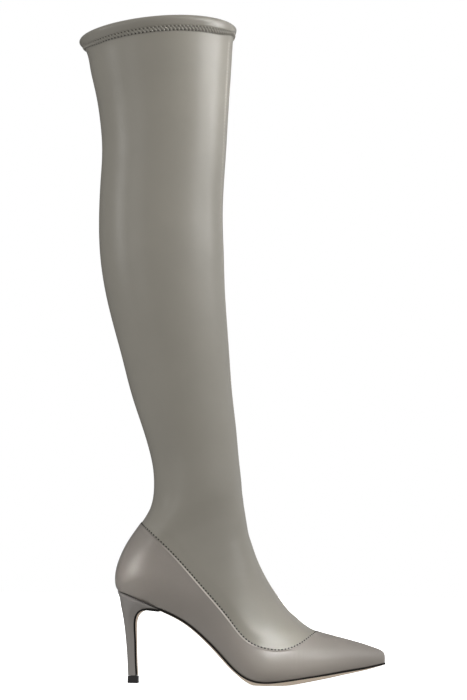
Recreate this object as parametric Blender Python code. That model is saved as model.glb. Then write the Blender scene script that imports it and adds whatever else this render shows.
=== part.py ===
"""Over-the-knee stretch boot with a pointed toe and a slim stiletto heel, for the right foot.

The pump-shaped upper and the stretch shaft are two hollow shells cut from one outer form, a row of
sections that fan round from the toe, through the instep and heel, to the collar. The shaft's lower edge
is tucked under the upper along the topline. The outsole runs from the toe to the seat and on down the
breast of the heel. Sizes are in millimetres, measured from the middle of the heel tip on the floor.
The toe points to +X and the outer side of the foot is -Y.
"""

import math
from collections import namedtuple

import bpy
import numpy as np

MM = 0.001
GAP = 0.3

# Driving sizes of the last and the leg
FOOT_LENGTH = 250.6
BALL_WIDTH = 81.0
INSTEP_HEIGHT = 146.0
HEEL_HEIGHT = 85.0
HEEL_BACK_X = -17.8
COLLAR_HEIGHT = 600.0
CALF_DEPTH = 114.8
CALF_WIDTH = 102.8
BOOT_X = -87.3

# Walls and laps
UPPER_WALL = 1.8
SKIVED_EDGE = 1.0
SKIVE_LENGTH = 12.0
SHAFT_WALL = 1.5
LAP = 6.0
SEAM_BLEND_FROM = 3.0
SEAM_BLEND = 12.0
CUT_SNAP = 0.3

# Topline of the pump-shaped upper, as the outer side shows it
TOPLINE_X = (4.0, 35.3, 67.6, 89.9, 100.8, 110.8, 122.0, 134.0, 146.0, 157.0, 165.0, 170.0)
TOPLINE_Z = (148.3, 121.0, 86.0, 60.5, 47.0, 38.6, 34.4, 32.6, 34.3, 39.6, 46.0, 50.4)

# Collar: the outer side rises above the front and back, and a folded binding covers the edge
COLLAR_RISE_OUT = 4.8
COLLAR_RISE_IN = 2.0
COLLAR_RISE_POWER = 1.5
COLLAR_RISE_LEAN = 0.2
COLLAR_RISE_FROM = 540.0
BINDING_HEIGHT = 14.6
BINDING_COVERS = 11.6

# Sole and heel
SOLE_EDGE = 2.0
SOLE_MARGIN = 0.6
FLAP_THICKNESS = 1.7
INSOLE_THICKNESS = 1.6
INSOLE_INSET = 2.8
INSOLE_BACK_INSET = 6.5
TIP_HEIGHT = 6.8

# Mesh density
HALF_COLUMNS = 14
ROWS_PER_FOOT_SECTION = 2
HEEL_STEPS = 2
FLAP_STEPS = 2
BINDING_ROWS = 5
PROFILE_SAMPLES = 97
SHARP_ANGLE = 55

# One section of the last. Top and sole points are shares of FOOT_LENGTH from the back of the heel, and of
# INSTEP_HEIGHT and HEEL_HEIGHT from the floor. Widths are shares of half of BALL_WIDTH, and widest is the
# share of the way from sole to top where the section is widest. Swing is towards the inner side, in mm.
# Blunt is the power of the curve over the top: 2 is an ellipse, more is flatter.
FootSection = namedtuple(
    "FootSection", "name top_x top_z sole_x sole_z out inn sole_out sole_in widest swing blunt")
FOOT = [
    FootSection("toe_end", 0.996, 0.178, 0.996, 0.262, 0.030, 0.030, 0.018, 0.018, 0.50, 8.0, 2.00),
    FootSection("toe_edge", 0.994, 0.202, 0.994, 0.257, 0.085, 0.085, 0.065, 0.065, 0.42, 8.0, 2.00),
    FootSection("toe_round", 0.985, 0.222, 0.985, 0.249, 0.138, 0.138, 0.112, 0.112, 0.36, 8.0, 2.00),
    FootSection("toe_tip", 0.965, 0.238, 0.966, 0.236, 0.205, 0.205, 0.172, 0.172, 0.33, 7.8, 2.00),
    FootSection("toe_point", 0.923, 0.262, 0.924, 0.209, 0.322, 0.322, 0.280, 0.280, 0.30, 7.3, 1.95),
    FootSection("toe_box", 0.856, 0.294, 0.857, 0.177, 0.490, 0.490, 0.434, 0.434, 0.28, 6.2, 1.90),
    FootSection("vamp_front", 0.782, 0.326, 0.784, 0.143, 0.668, 0.678, 0.598, 0.610, 0.25, 4.8, 1.80),
    FootSection("vamp", 0.717, 0.364, 0.695, 0.103, 0.840, 0.862, 0.752, 0.776, 0.23, 3.4, 1.75),
    FootSection("ball_inner", 0.675, 0.416, 0.614, 0.068, 0.972, 0.998, 0.862, 0.888, 0.21, 2.2, 1.70),
    FootSection("ball_outer", 0.641, 0.467, 0.533, 0.065, 1.012, 0.978, 0.888, 0.846, 0.20, 1.0, 1.65),
    FootSection("waist_front", 0.610, 0.533, 0.466, 0.158, 0.964, 0.896, 0.796, 0.710, 0.21, 0.2, 1.65),
    FootSection("waist", 0.578, 0.612, 0.399, 0.351, 0.890, 0.832, 0.668, 0.562, 0.29, 0.0, 1.78),
    FootSection("arch", 0.552, 0.685, 0.335, 0.531, 0.840, 0.796, 0.584, 0.498, 0.37, 0.0, 1.92),
    FootSection("shank", 0.530, 0.760, 0.264, 0.692, 0.808, 0.782, 0.548, 0.508, 0.40, 0.0, 2.15),
    FootSection("seat_front", 0.512, 0.836, 0.178, 0.819, 0.790, 0.776, 0.545, 0.530, 0.37, 0.0, 2.30),
    FootSection("seat", 0.497, 0.910, 0.104, 0.899, 0.780, 0.776, 0.538, 0.532, 0.33, 0.0, 2.45),
    FootSection("seat_rear", 0.488, 0.965, 0.035, 0.979, 0.778, 0.778, 0.400, 0.400, 0.31, 0.0, 2.55),
    FootSection("seat_back", 0.484, 1.003, 0.011, 1.006, 0.778, 0.778, 0.0, 0.0, 0.30, 0.0, 2.60),
    FootSection("counter", 0.480, 1.041, 0.001, 1.148, 0.780, 0.780, 0.0, 0.0, 0.31, 0.0, 2.60),
    FootSection("counter_mid", 0.476, 1.082, 0.014, 1.328, 0.786, 0.786, 0.0, 0.0, 0.35, 0.0, 2.50),
    FootSection("counter_top", 0.472, 1.120, 0.040, 1.498, 0.808, 0.808, 0.0, 0.0, 0.41, 0.0, 2.35),
    FootSection("topline_back", 0.469, 1.158, 0.086, 1.701, 0.836, 0.836, 0.0, 0.0, 0.46, 0.0, 2.15),
    FootSection("heel_cord", 0.465, 1.206, 0.127, 1.888, 0.866, 0.866, 0.0, 0.0, 0.49, 0.0, 2.05),
]
SEAT_ROW = "seat"
SEAT_BACK_ROW = "seat_back"
SEAT_FADE = 10.0
SEAT_FADE_BELOW = 0.6

# One section of the leg: its height as a share of COLLAR_HEIGHT, the x of its middle in mm, its depth and
# width as shares of the calf's, and how much higher its front is than its back, in mm.
LegSection = namedtuple("LegSection", "name up middle depth width slant")
LEG = [
    LegSection("ankle", 0.311, 57.5, 0.701, 0.702, 1.0),
    LegSection("ankle_top", 0.342, 55.2, 0.702, 0.706, 1.0),
    LegSection("shin_low", 0.388, 49.8, 0.747, 0.750, 1.0),
    LegSection("shin", 0.443, 42.1, 0.811, 0.816, 1.0),
    LegSection("calf_low", 0.499, 36.0, 0.866, 0.872, 1.0),
    LegSection("calf_mid", 0.554, 29.9, 0.924, 0.932, 1.0),
    LegSection("calf_high", 0.610, 24.5, 0.974, 0.974, 1.0),
    LegSection("calf", 0.665, 21.4, 1.004, 0.996, 1.0),
    LegSection("calf_top", 0.721, 20.1, 1.003, 1.000, 1.0),
    LegSection("below_knee", 0.776, 21.0, 1.003, 1.000, 1.0),
    LegSection("knee", 0.823, 22.3, 1.008, 1.006, 1.5),
    LegSection("above_knee", 0.869, 21.8, 1.038, 1.042, 2.0),
    LegSection("thigh_low", 0.915, 20.2, 1.091, 1.100, 3.5),
    LegSection("thigh", 0.955, 18.2, 1.149, 1.160, 6.5),
    LegSection("collar_seam", 0.983, 17.0, 1.186, 1.206, 11.0),
    LegSection("collar_edge", 1.002, 15.0, 1.240, 1.250, 13.0),
]
COLLAR_SEAM_ROW = "collar_seam"

# Bottom crown of the outsole by foot section: how much thicker its middle is than its edge
SOLE_CROWN = {
    "toe_end": 0.2, "toe_point": 1.4, "vamp": 4.2, "ball_inner": 4.4, "ball_outer": 4.4,
    "waist": 2.4, "shank": 1.3, "seat_front": 0.9,
}
CROWN_POWER = 4
SOLE_LEVEL_FROM = "toe_round"
SOLE_ENDS_AT = "seat_front"
INSOLE_STARTS_AT = "toe_point"

# One section of the heel, from its tip to its seat: the back and breast points, and the half width
HeelSection = namedtuple("HeelSection", "name back_x back_z breast_x breast_z half_width breast_half")
HEEL = [
    HeelSection("tip", -4.4, 7.1, 2.7, 7.1, 5.0, 4.6),
    HeelSection("stem_low", -5.4, 25.5, 1.6, 25.5, 5.4, 5.0),
    HeelSection("stem", -6.9, 41.2, 1.1, 40.4, 6.5, 6.0),
    HeelSection("stem_high", -8.8, 56.0, 0.6, 53.4, 9.0, 8.2),
    HeelSection("neck", -10.6, 65.6, 1.7, 61.3, 11.6, 10.4),
    HeelSection("flare", -12.0, 72.4, 4.8, 66.4, 15.0, 13.4),
    HeelSection("cup", -13.1, 78.4, 10.2, 69.2, 19.2, 17.0),
    HeelSection("seat_low", -14.1, 81.4, 16.5, 70.2, 22.2, 20.0),
    HeelSection("seat", -14.9, 84.5, 22.0, 70.2, 23.6, 21.6),
]
HEEL_ROUND = 0.62
HEEL_SIDE_POINTS = 9

# The flap of sole leather down the breast: its inner face, from the seat to the tip, and half width
FlapSection = namedtuple("FlapSection", "x z half_width")
FLAP = [
    FlapSection(23.2, 69.3, 21.6),
    FlapSection(16.6, 69.8, 20.0),
    FlapSection(10.4, 68.8, 17.0),
    FlapSection(5.2, 65.9, 13.4),
    FlapSection(2.1, 61.0, 10.4),
    FlapSection(1.0, 53.4, 8.2),
    FlapSection(1.5, 40.4, 6.0),
    FlapSection(2.0, 25.5, 5.0),
    FlapSection(3.1, 7.1, 4.6),
]

# Heel tip: a D-shaped block, flat on the floor, slightly wider than the heel's foot
TIP_BACK_X = -4.7
TIP_FRONT_X = 5.3
TIP_HALF_WIDTH = 5.5
TIP_ROUND = 0.55

# Section of the folded binding: distance up from the collar seam, and out from the shaft's outer face
BINDING_PROFILE = [
    (0.0, 0.35), (0.5, 1.1), (3.0, 1.6), (7.0, 2.1), (11.0, 2.2), (13.4, 1.6), (14.6, 0.0), (14.4, -1.5),
    (12.8, -2.8), (8.0, -3.1), (3.0, -3.0), (0.8, -2.7), (0.6, -1.85), (12.1, -1.85), (12.1, 0.35),
]

# Sizes of one section, or of many at once, in mm
Sizes = namedtuple("Sizes", "top_x top_z sole_x sole_z out inn sole_out sole_in widest swing blunt")
Form = namedtuple("Form", "knots rows names")
Material = namedtuple("Material", "name colour roughness")
LEATHER = Material("grey_leather", (0.226, 0.212, 0.188), 0.42)
STRETCH = Material("grey_stretch_leather", (0.226, 0.212, 0.188), 0.45)
HEEL_COVER = Material("grey_heel_cover", (0.210, 0.198, 0.180), 0.42)
SOLE_LEATHER = Material("tan_sole_leather", (0.56, 0.40, 0.27), 0.5)
TIP_RUBBER = Material("black_rubber", (0.022, 0.021, 0.021), 0.6)
SOCK_LINING = Material("grey_sock_lining", (0.42, 0.39, 0.34), 0.7)


def spline(at, knots, values):
    """The natural cubic curve through the values at the knots, read at other places."""
    at, knots, values = (np.asarray(a, float) for a in (at, knots, values))
    step = np.diff(knots)
    system = np.eye(len(knots))
    right = np.zeros_like(values)
    for k in range(1, len(knots) - 1):
        system[k, k - 1 : k + 2] = step[k - 1], 2 * (step[k - 1] + step[k]), step[k]
        right[k] = 6 * ((values[k + 1] - values[k]) / step[k] - (values[k] - values[k - 1]) / step[k - 1])
    bend = np.linalg.solve(system, right)
    k = np.clip(np.searchsorted(knots, at) - 1, 0, len(knots) - 2)
    near = (at - knots[k]) / step[k]
    size = step[k]
    if values.ndim > 1:
        near, size = near[..., None], size[..., None]
    far = 1 - near
    bent = ((far**3 - far) * bend[k] + (near**3 - near) * bend[k + 1]) * size**2 / 6
    return far * values[k] + near * values[k + 1] + bent


def smooth(share):
    """0 to 1 with level ends."""
    share = np.clip(share, 0, 1)
    return share * share * (3 - 2 * share)


def chord_lengths(points):
    """Distance along a row of points, from the first one."""
    return np.concatenate([[0], np.cumsum(np.linalg.norm(np.diff(points, axis=0), axis=1))])


def boot_form():
    """Every section from the toe to the collar as one table of sizes in mm, with its place along the boot."""
    half_ball = BALL_WIDTH / 2
    rows = []
    for f in FOOT:
        rows.append(Sizes(
            HEEL_BACK_X + f.top_x * FOOT_LENGTH, f.top_z * INSTEP_HEIGHT,
            HEEL_BACK_X + f.sole_x * FOOT_LENGTH, f.sole_z * HEEL_HEIGHT,
            f.out * half_ball, f.inn * half_ball, f.sole_out * half_ball, f.sole_in * half_ball,
            f.widest, f.swing, f.blunt,
        ))
    for s in LEG:
        depth, width, height = s.depth * CALF_DEPTH, s.width * CALF_WIDTH, s.up * COLLAR_HEIGHT
        rows.append(Sizes(
            s.middle + depth / 2, height + s.slant / 2, s.middle - depth / 2, height - s.slant / 2,
            width / 2, width / 2, sole_out=0.0, sole_in=0.0, widest=0.5, swing=0.0, blunt=2.0,
        ))
    tops = [(r.top_x, r.top_z) for r in rows]
    soles = [(r.sole_x, r.sole_z) for r in rows]
    knots = (chord_lengths(tops) + chord_lengths(soles)) / 2
    return Form(knots, rows, [s.name for s in FOOT + LEG])


FORM = boot_form()


def station_of(name):
    return FORM.knots[FORM.names.index(name)]


def sections_at(stations):
    """The table's sizes read between its rows. The seat closes round the back of the heel as an ellipse."""
    stations = np.asarray(stations, float)
    sizes = Sizes(*spline(stations, FORM.knots, FORM.rows).T)
    start, end = station_of(SEAT_ROW), station_of(SEAT_BACK_ROW)
    seat = FORM.rows[FORM.names.index(SEAT_ROW)]
    closing = np.sqrt(np.clip(1 - np.clip((stations - start) / (end - start), 0, 1) ** 2, 0, 1))
    return sizes._replace(
        sole_out=np.where(stations > start, seat.sole_out * closing, sizes.sole_out),
        sole_in=np.where(stations > start, seat.sole_in * closing, sizes.sole_in))


def half_profile(height, sole, wide, widest, blunt):
    """One side of a section, from its sole edge to its top: (share of the height, half width) pairs.

    It is a rounded quarter over the widest place, and below it an ellipse that the sole cuts off.
    """
    turn = np.linspace(0, math.pi, PROFILE_SAMPLES)
    up = (1 - np.cos(turn)) / 2
    near = np.clip(1 - up / widest, 0, 1)
    share = sole / wide
    hold = 2 + SEAT_FADE * np.clip(1 - share / SEAT_FADE_BELOW, 0, 1) ** 2
    low = np.sqrt(1 - near**2 + share**2 * near**hold)
    high = (1 - np.clip((up - widest) / (1 - widest), 0, 1) ** blunt) ** (1 / blunt)
    out = wide * np.where(up < widest, low, high)
    along = chord_lengths(np.column_stack([up * height, out]))
    even = np.linspace(0, along[-1], HALF_COLUMNS + 1)
    return np.interp(even, along, up), np.interp(even, along, out)


def loops_at(stations):
    """Outer points of the boot: a loop for each station, from the outer sole edge over to the inner one."""
    loops = []
    for s in map(Sizes._make, np.column_stack(sections_at(stations))):
        height = math.hypot(s.top_x - s.sole_x, s.top_z - s.sole_z)
        outer = (-1, s.out, s.sole_out, COLLAR_RISE_OUT)
        inner = (1, s.inn, s.sole_in, COLLAR_RISE_IN)
        sides = []
        for side, wide, sole, rise in (outer, inner):
            up, across = half_profile(height, max(sole, 0.0), wide, s.widest, s.blunt)
            x = s.sole_x + up * (s.top_x - s.sole_x)
            z = s.sole_z + up * (s.top_z - s.sole_z)
            ramp = smooth((z - COLLAR_RISE_FROM) / (COLLAR_HEIGHT - COLLAR_RISE_FROM))
            lean = 1 + COLLAR_RISE_LEAN * (2 * up - 1)
            lift = rise * ramp * lean * (across / wide) ** COLLAR_RISE_POWER
            sides.append(np.column_stack([x, s.swing + side * across, z + lift]))
        loops.append(np.vstack([sides[0], sides[1][-2::-1]]))
    return np.array(loops)


def above_topline(points):
    """Signed distance of points above the upper's topline, as seen from the side."""
    x = np.clip(points[..., 0], TOPLINE_X[0], TOPLINE_X[-1])
    line = spline(x, TOPLINE_X, TOPLINE_Z)
    step = 0.5
    slope = (spline(np.minimum(x + step, TOPLINE_X[-1]), TOPLINE_X, TOPLINE_Z)
             - spline(np.maximum(x - step, TOPLINE_X[0]), TOPLINE_X, TOPLINE_Z)) / (2 * step)
    toe = np.clip(points[..., 0] - TOPLINE_X[-1], 0, None)
    return (points[..., 2] - line) / np.sqrt(1 + slope**2) - toe


def row_stations(first, last):
    """The table's own stations between two places, the foot's intervals divided for the mesh."""
    foot = np.arange(ROWS_PER_FOOT_SECTION * len(FOOT)) / ROWS_PER_FOOT_SECTION
    leg = np.arange(len(FOOT), len(FORM.knots))
    every = np.interp(np.concatenate([foot, leg]), np.arange(len(FORM.knots)), FORM.knots)
    inside = every[(every > first) & (every < last)]
    return np.concatenate([[first], inside, [last]])


def boot_surface():
    """The outer form as one open surface: points, outward normals, and triangles as point numbers.

    The toe is one point, and the two sole edges become one line up the back where the sole has closed.
    """
    stations = row_stations(0, station_of(COLLAR_SEAM_ROW) + BINDING_COVERS)
    loops = loops_at(stations)
    columns = loops.shape[1]
    numbers = np.arange(loops.shape[0] * columns).reshape(loops.shape[:2])
    numbers[0, :] = 0
    closed = stations >= station_of(SEAT_BACK_ROW)
    numbers[closed, -1] = numbers[closed, 0]
    triangles = []
    for r in range(len(stations) - 1):
        for c in range(columns - 1):
            a, b, d, e = numbers[r, c], numbers[r, c + 1], numbers[r + 1, c + 1], numbers[r + 1, c]
            pair = ((a, b, d), (a, d, e)) if c < HALF_COLUMNS else ((a, b, e), (b, d, e))
            triangles += [t for t in pair if len(set(t)) == 3]
    points = loops.reshape(-1, 3)
    return points, point_normals(points, triangles), triangles


def point_normals(points, triangles):
    """Outward unit normal at each point of an open surface."""
    corners = points[np.array(triangles)]
    facing = np.cross(corners[:, 1] - corners[:, 0], corners[:, 2] - corners[:, 0])
    total = np.zeros_like(points)
    for k in range(3):
        np.add.at(total, np.array(triangles)[:, k], facing)
    length = np.linalg.norm(total, axis=1, keepdims=True)
    return total / np.where(length > 0, length, 1)


def clip_surface(points, normals, triangles, keep):
    """The part of an open surface where keep is not below zero, cut along the line where it is zero."""
    keep = np.where(np.abs(keep) < CUT_SNAP, 0.0, keep)
    points, normals, faces, cuts, used = list(points), list(normals), [], {}, {}

    def cut_between(a, b):
        pair = (min(a, b), max(a, b))
        if pair not in cuts:
            share = keep[pair[0]] / (keep[pair[0]] - keep[pair[1]])
            cuts[pair] = len(points)
            for values in (points, normals):
                values.append(values[pair[0]] * (1 - share) + values[pair[1]] * share)
        return cuts[pair]

    for triangle in triangles:
        face = []
        for a, b in zip(triangle, triangle[1:] + triangle[:1]):
            if keep[a] >= 0:
                face.append(a)
            if keep[a] * keep[b] < 0:
                face.append(cut_between(a, b))
        if len(face) > 2 and max(keep[list(triangle)]) > 0:
            faces.append([used.setdefault(k, len(used)) for k in face])
    order = list(used)
    return np.array(points)[order], np.array(normals)[order], faces


def add_object(name, points, faces, material):
    """A named object with its own material, smooth except at sharp edges, on the boot's empty."""
    mesh = bpy.data.meshes.new(name)
    mesh.from_pydata([tuple(p) for p in np.asarray(points) * MM], [], faces)
    mesh.validate()
    mesh.shade_smooth()
    mesh.set_sharp_from_angle(angle=math.radians(SHARP_ANGLE))
    shader = bpy.data.materials.new(name + "_" + material.name)
    shader.use_nodes = True
    principled = shader.node_tree.nodes["Principled BSDF"]
    principled.inputs["Base Color"].default_value = (*material.colour, 1.0)
    principled.inputs["Roughness"].default_value = material.roughness
    mesh.materials.append(shader)
    obj = bpy.data.objects.new(name, mesh)
    bpy.context.scene.collection.objects.link(obj)
    obj.parent = BOOT
    return obj


def add_shell(name, outer, inner, faces, material):
    """A closed wall between an outer and an inner copy of one open surface."""
    count = len(outer)
    uses = {}
    for face in faces:
        for a, b in zip(face, face[1:] + face[:1]):
            uses[(a, b)] = uses.get((a, b), 0) + 1
    walls = [list(f) for f in faces] + [[k + count for k in reversed(f)] for f in faces]
    walls += [[b, a, a + count, b + count] for a, b in uses if (b, a) not in uses]
    return add_object(name, np.vstack([outer, inner]), walls, material)


def add_loft(name, loops, material):
    """A solid through closed loops of equal count, with its two ends capped."""
    loops = np.asarray(loops)
    count = loops.shape[1]
    faces = []
    for r in range(len(loops) - 1):
        for c in range(count):
            d = (c + 1) % count
            faces.append([r * count + c, r * count + d, (r + 1) * count + d, (r + 1) * count + c])
    last = (len(loops) - 1) * count
    faces.append(list(range(count - 1, -1, -1)))
    faces.append(list(range(last, last + count)))
    return add_object(name, loops.reshape(-1, 3), faces, material)


def upper_wall(above):
    """Thickness of the upper: skived thin at its top edge, full further down."""
    return SKIVED_EDGE + (UPPER_WALL - SKIVED_EDGE) * smooth(-above / SKIVE_LENGTH)


def shaft_inset(above):
    """How far the shaft's outer face lies inside the form: under the upper's wall, then out to the form."""
    blend = 1 - smooth((above - SEAM_BLEND_FROM) / SEAM_BLEND)
    return (upper_wall(above) + GAP) * blend


def make_upper():
    """The pump-shaped foot: open at the topline and underneath, skived thin along its top edge."""
    points, normals, triangles = boot_surface()
    points, normals, faces = clip_surface(points, normals, triangles, -above_topline(points))
    inner = points - upper_wall(above_topline(points))[:, None] * normals
    add_shell("upper", points, inner, faces, LEATHER)


def make_shaft():
    """The stretch shaft: a tube from its lap under the topline up into the collar's binding."""
    points, normals, triangles = boot_surface()
    points, normals, faces = clip_surface(points, normals, triangles, above_topline(points) + LAP)
    outer = points - shaft_inset(above_topline(points))[:, None] * normals
    add_shell("shaft", outer, outer - SHAFT_WALL * normals, faces, STRETCH)


def make_top_binding():
    """The collar's folded binding: a U-shaped section carried round the shaft's upper edge."""
    seam = station_of(COLLAR_SEAM_ROW)
    reach = seam + np.linspace(0, BINDING_HEIGHT, BINDING_ROWS)
    loops = loops_at(reach)[:, :-1]
    count = loops.shape[1]
    around = np.roll(loops, -1, axis=1) - np.roll(loops, 1, axis=1)
    outward = np.cross(around, np.gradient(loops, axis=0))
    outward /= np.linalg.norm(outward, axis=2, keepdims=True)
    rings = []
    for up, out in BINDING_PROFILE:
        place = up / BINDING_HEIGHT * (len(reach) - 1)
        low = min(int(place), len(reach) - 2)
        share = place - low
        middle = loops[low] * (1 - share) + loops[low + 1] * share
        rings.append(middle + out * (outward[low] * (1 - share) + outward[low + 1] * share))
    faces = []
    for r in range(len(rings)):
        for c in range(count):
            s, d = (r + 1) % len(rings), (c + 1) % count
            faces.append([r * count + c, r * count + d, s * count + d, s * count + c])
    add_object("top_binding", np.vstack(rings), faces, LEATHER)


def sole_line(stations):
    """The line under the foot: its points in x and z, the upward normals, and the y of the two sole edges."""
    s = sections_at(stations)
    path = np.column_stack([s.sole_x, s.sole_z])
    return path, path_normals(path), s.swing - s.sole_out, s.swing + s.sole_in


def path_normals(path):
    """Unit normals of a path in x and z that runs from toe to heel, on its upper side."""
    ahead = np.gradient(path, axis=0)
    ahead /= np.linalg.norm(ahead, axis=1, keepdims=True)
    return np.column_stack([ahead[:, 1], -ahead[:, 0]])


def strip_loops(path, normals, y_out, y_in, top, edge, crown, across):
    """Closed loops of a strip along a path: a level top, and a crowned bottom that stays off the floor."""
    loops = []
    shares = np.linspace(-1, 1, across)
    for place, normal, a, b, low, thick in zip(path, normals, y_out, y_in, edge, crown):
        y = (a + b) / 2 + shares * (b - a) / 2
        upper = place + top * normal
        bottom = upper - (low + thick * (1 - shares[:, None] ** CROWN_POWER)) * normal
        top_row = np.column_stack([np.full(across, upper[0]), y, np.full(across, upper[1])])
        bottom_row = np.column_stack([bottom[:, 0], y, np.maximum(bottom[:, 1], 0.0)])
        loops.append(np.vstack([top_row, bottom_row[::-1]]))
    return loops


def make_outsole():
    """The thin outsole and its flap down the breast, one strip of leather."""
    stations = row_stations(0, station_of(SOLE_ENDS_AT))
    foot, _, y_out, y_in = sole_line(stations)
    toe = stations < station_of(SOLE_LEVEL_FROM)
    first = int(np.count_nonzero(toe))
    slope = (foot[first, 1] - foot[first + 1, 1]) / (foot[first, 0] - foot[first + 1, 0])
    foot[toe, 0] += SOLE_MARGIN * (1 - stations[toe] / stations[first])
    foot[toe, 1] = foot[first, 1] + slope * (foot[toe, 0] - foot[first, 0])
    crown = np.interp(stations, [station_of(n) for n in SOLE_CROWN], list(SOLE_CROWN.values()))
    flap = np.array(FLAP)
    along = chord_lengths(flap[:, :2])
    steps = np.interp(np.arange(FLAP_STEPS * (len(flap) - 1) + 1) / FLAP_STEPS, np.arange(len(flap)), along)
    flap = spline(steps, along, flap)
    path = np.vstack([foot - GAP * path_normals(foot), flap[:, :2]])
    zeros = np.zeros(len(flap))
    loops = strip_loops(
        path, path_normals(path),
        np.concatenate([y_out - SOLE_MARGIN, -flap[:, 2]]), np.concatenate([y_in + SOLE_MARGIN, flap[:, 2]]),
        0.0, np.concatenate([np.full(len(foot), SOLE_EDGE), zeros + FLAP_THICKNESS]),
        np.concatenate([crown, zeros]), across=9)
    add_loft("outsole", loops, SOLE_LEATHER)


def make_insole():
    """The insole: a thin board inside the upper, from the toe to the back of the seat."""
    stations = row_stations(station_of(INSOLE_STARTS_AT), station_of(SEAT_BACK_ROW) - INSOLE_BACK_INSET)
    path, normals, y_out, y_in = sole_line(stations)
    flat = np.zeros(len(path))
    loops = strip_loops(path, normals, y_out + INSOLE_INSET, y_in - INSOLE_INSET,
                        INSOLE_THICKNESS, flat + INSOLE_THICKNESS, flat, across=5)
    add_loft("insole", loops, SOCK_LINING)


def d_loop(back, front, half_width, front_half, round_share):
    """A D-shaped loop: round at the back, then straight sides to a flat front. Ends are (x, z) pairs."""
    turn = np.linspace(0, math.pi / 2, HEEL_SIDE_POINTS)
    share = np.concatenate([round_share * (1 - np.cos(turn)), [(1 + round_share) / 2, 1.0]])
    half = np.concatenate([half_width * np.sin(turn), [(half_width + front_half) / 2, front_half]])
    x = back[0] + share * (front[0] - back[0])
    z = back[1] + share * (front[1] - back[1])
    outer = np.column_stack([x, -half, z])
    inner = np.column_stack([x, half, z])[:0:-1]
    return np.vstack([outer, inner])


def make_heel():
    """The covered stiletto heel, from its tip up to the sloping seat."""
    table = np.array([s[1:] for s in HEEL])
    knots = chord_lengths((table[:, 0:2] + table[:, 2:4]) / 2)
    steps = np.interp(np.arange(HEEL_STEPS * (len(knots) - 1) + 1) / HEEL_STEPS, np.arange(len(knots)), knots)
    rows = spline(steps, knots, table)
    loops = [d_loop(r[0:2], r[2:4], r[4], r[5], HEEL_ROUND) for r in rows]
    add_loft("heel", loops, HEEL_COVER)


def make_heel_tip():
    """The black top piece under the heel, flat on the floor with softened edges."""
    edge = 0.4
    loops = []
    for z, inset in ((0.0, edge), (edge, 0.0), (TIP_HEIGHT - edge, 0.0), (TIP_HEIGHT, edge)):
        loops.append(d_loop((TIP_BACK_X + inset, z), (TIP_FRONT_X - inset, z), TIP_HALF_WIDTH - inset,
                            TIP_HALF_WIDTH - inset, TIP_ROUND))
    add_loft("heel_tip", loops, TIP_RUBBER)


for old in list(bpy.data.objects):
    bpy.data.objects.remove(old)
BOOT = bpy.data.objects.new("boot", None)
BOOT.location.x = BOOT_X * MM
bpy.context.scene.collection.objects.link(BOOT)

make_upper()
make_shaft()
make_top_binding()
make_outsole()
make_insole()
make_heel()
make_heel_tip()
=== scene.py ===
"""Looks of the over-the-knee stretch boot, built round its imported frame.

The form is the part's own, worked out from the same tables at a finer pitch. Sizes are in millimetres,
measured from the middle of the heel tip on the floor, and turn into metres when a piece is made.
The toe points to +X and the outer side of the foot is -Y.
"""

import math
from collections import namedtuple

import bpy
import numpy as np
from mathutils import Matrix, Vector


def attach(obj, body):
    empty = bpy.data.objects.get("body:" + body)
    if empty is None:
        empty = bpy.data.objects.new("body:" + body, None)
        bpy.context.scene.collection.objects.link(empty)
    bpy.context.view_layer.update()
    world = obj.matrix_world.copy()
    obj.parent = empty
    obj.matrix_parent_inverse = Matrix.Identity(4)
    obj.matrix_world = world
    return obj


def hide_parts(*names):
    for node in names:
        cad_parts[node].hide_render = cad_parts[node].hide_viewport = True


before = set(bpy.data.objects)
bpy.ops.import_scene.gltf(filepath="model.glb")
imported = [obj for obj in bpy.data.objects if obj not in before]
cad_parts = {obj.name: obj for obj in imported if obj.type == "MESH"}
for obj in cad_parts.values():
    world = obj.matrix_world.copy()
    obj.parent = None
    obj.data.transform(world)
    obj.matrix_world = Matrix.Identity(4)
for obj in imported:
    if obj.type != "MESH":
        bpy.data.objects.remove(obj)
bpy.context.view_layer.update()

MM = 0.001
BOOT_X = -87.3

# Driving sizes of the last and the leg
FOOT_LENGTH = 250.6
BALL_WIDTH = 81.0
INSTEP_HEIGHT = 146.0
HEEL_HEIGHT = 85.0
HEEL_BACK_X = -17.8
COLLAR_HEIGHT = 600.0
CALF_DEPTH = 114.8
CALF_WIDTH = 102.8

# Walls and laps
UPPER_WALL = 1.8
SHAFT_WALL = 1.4
LAP = 5.0
SKIVED_OVER = 12.0
SHAFT_CLEAR = 0.06
SHAFT_DROP_FROM = 0.3
SHAFT_DROP_OVER = 12.0

# The upper's folded top edge, thinner where it ends at the back and at the throat
EDGE_ROUND = 0.45
EDGE_STRIP = 1.3
EDGE_RAISE = 0.35
EDGE_RAMP = 0.7
EDGE_POINTS = 9
EDGE_END_SHARE = 0.35
EDGE_BACK_X = 6.0
EDGE_THROAT_X = 169.0
EDGE_END_OVER = 22.0

# Topline of the pump-shaped upper, as the outer side shows it
TOPLINE_X = (4.0, 35.3, 67.6, 89.9, 100.8, 110.8, 122.0, 134.0, 146.0, 157.0, 165.0, 170.0)
TOPLINE_Z = (148.3, 121.0, 86.0, 60.5, 47.0, 38.6, 34.4, 32.6, 34.3, 39.6, 46.0, 50.4)
TOPLINE_STEP = 0.5

# Collar: the outer side rises above the front and back, and a folded band covers the edge
COLLAR_RISE_OUT = 4.8
COLLAR_RISE_IN = 2.0
COLLAR_RISE_POWER = 1.5
COLLAR_RISE_LEAN = 0.2
COLLAR_RISE_FROM = 540.0
BAND_HEIGHT = 14.6
BAND_COVERS = 11.6

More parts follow.
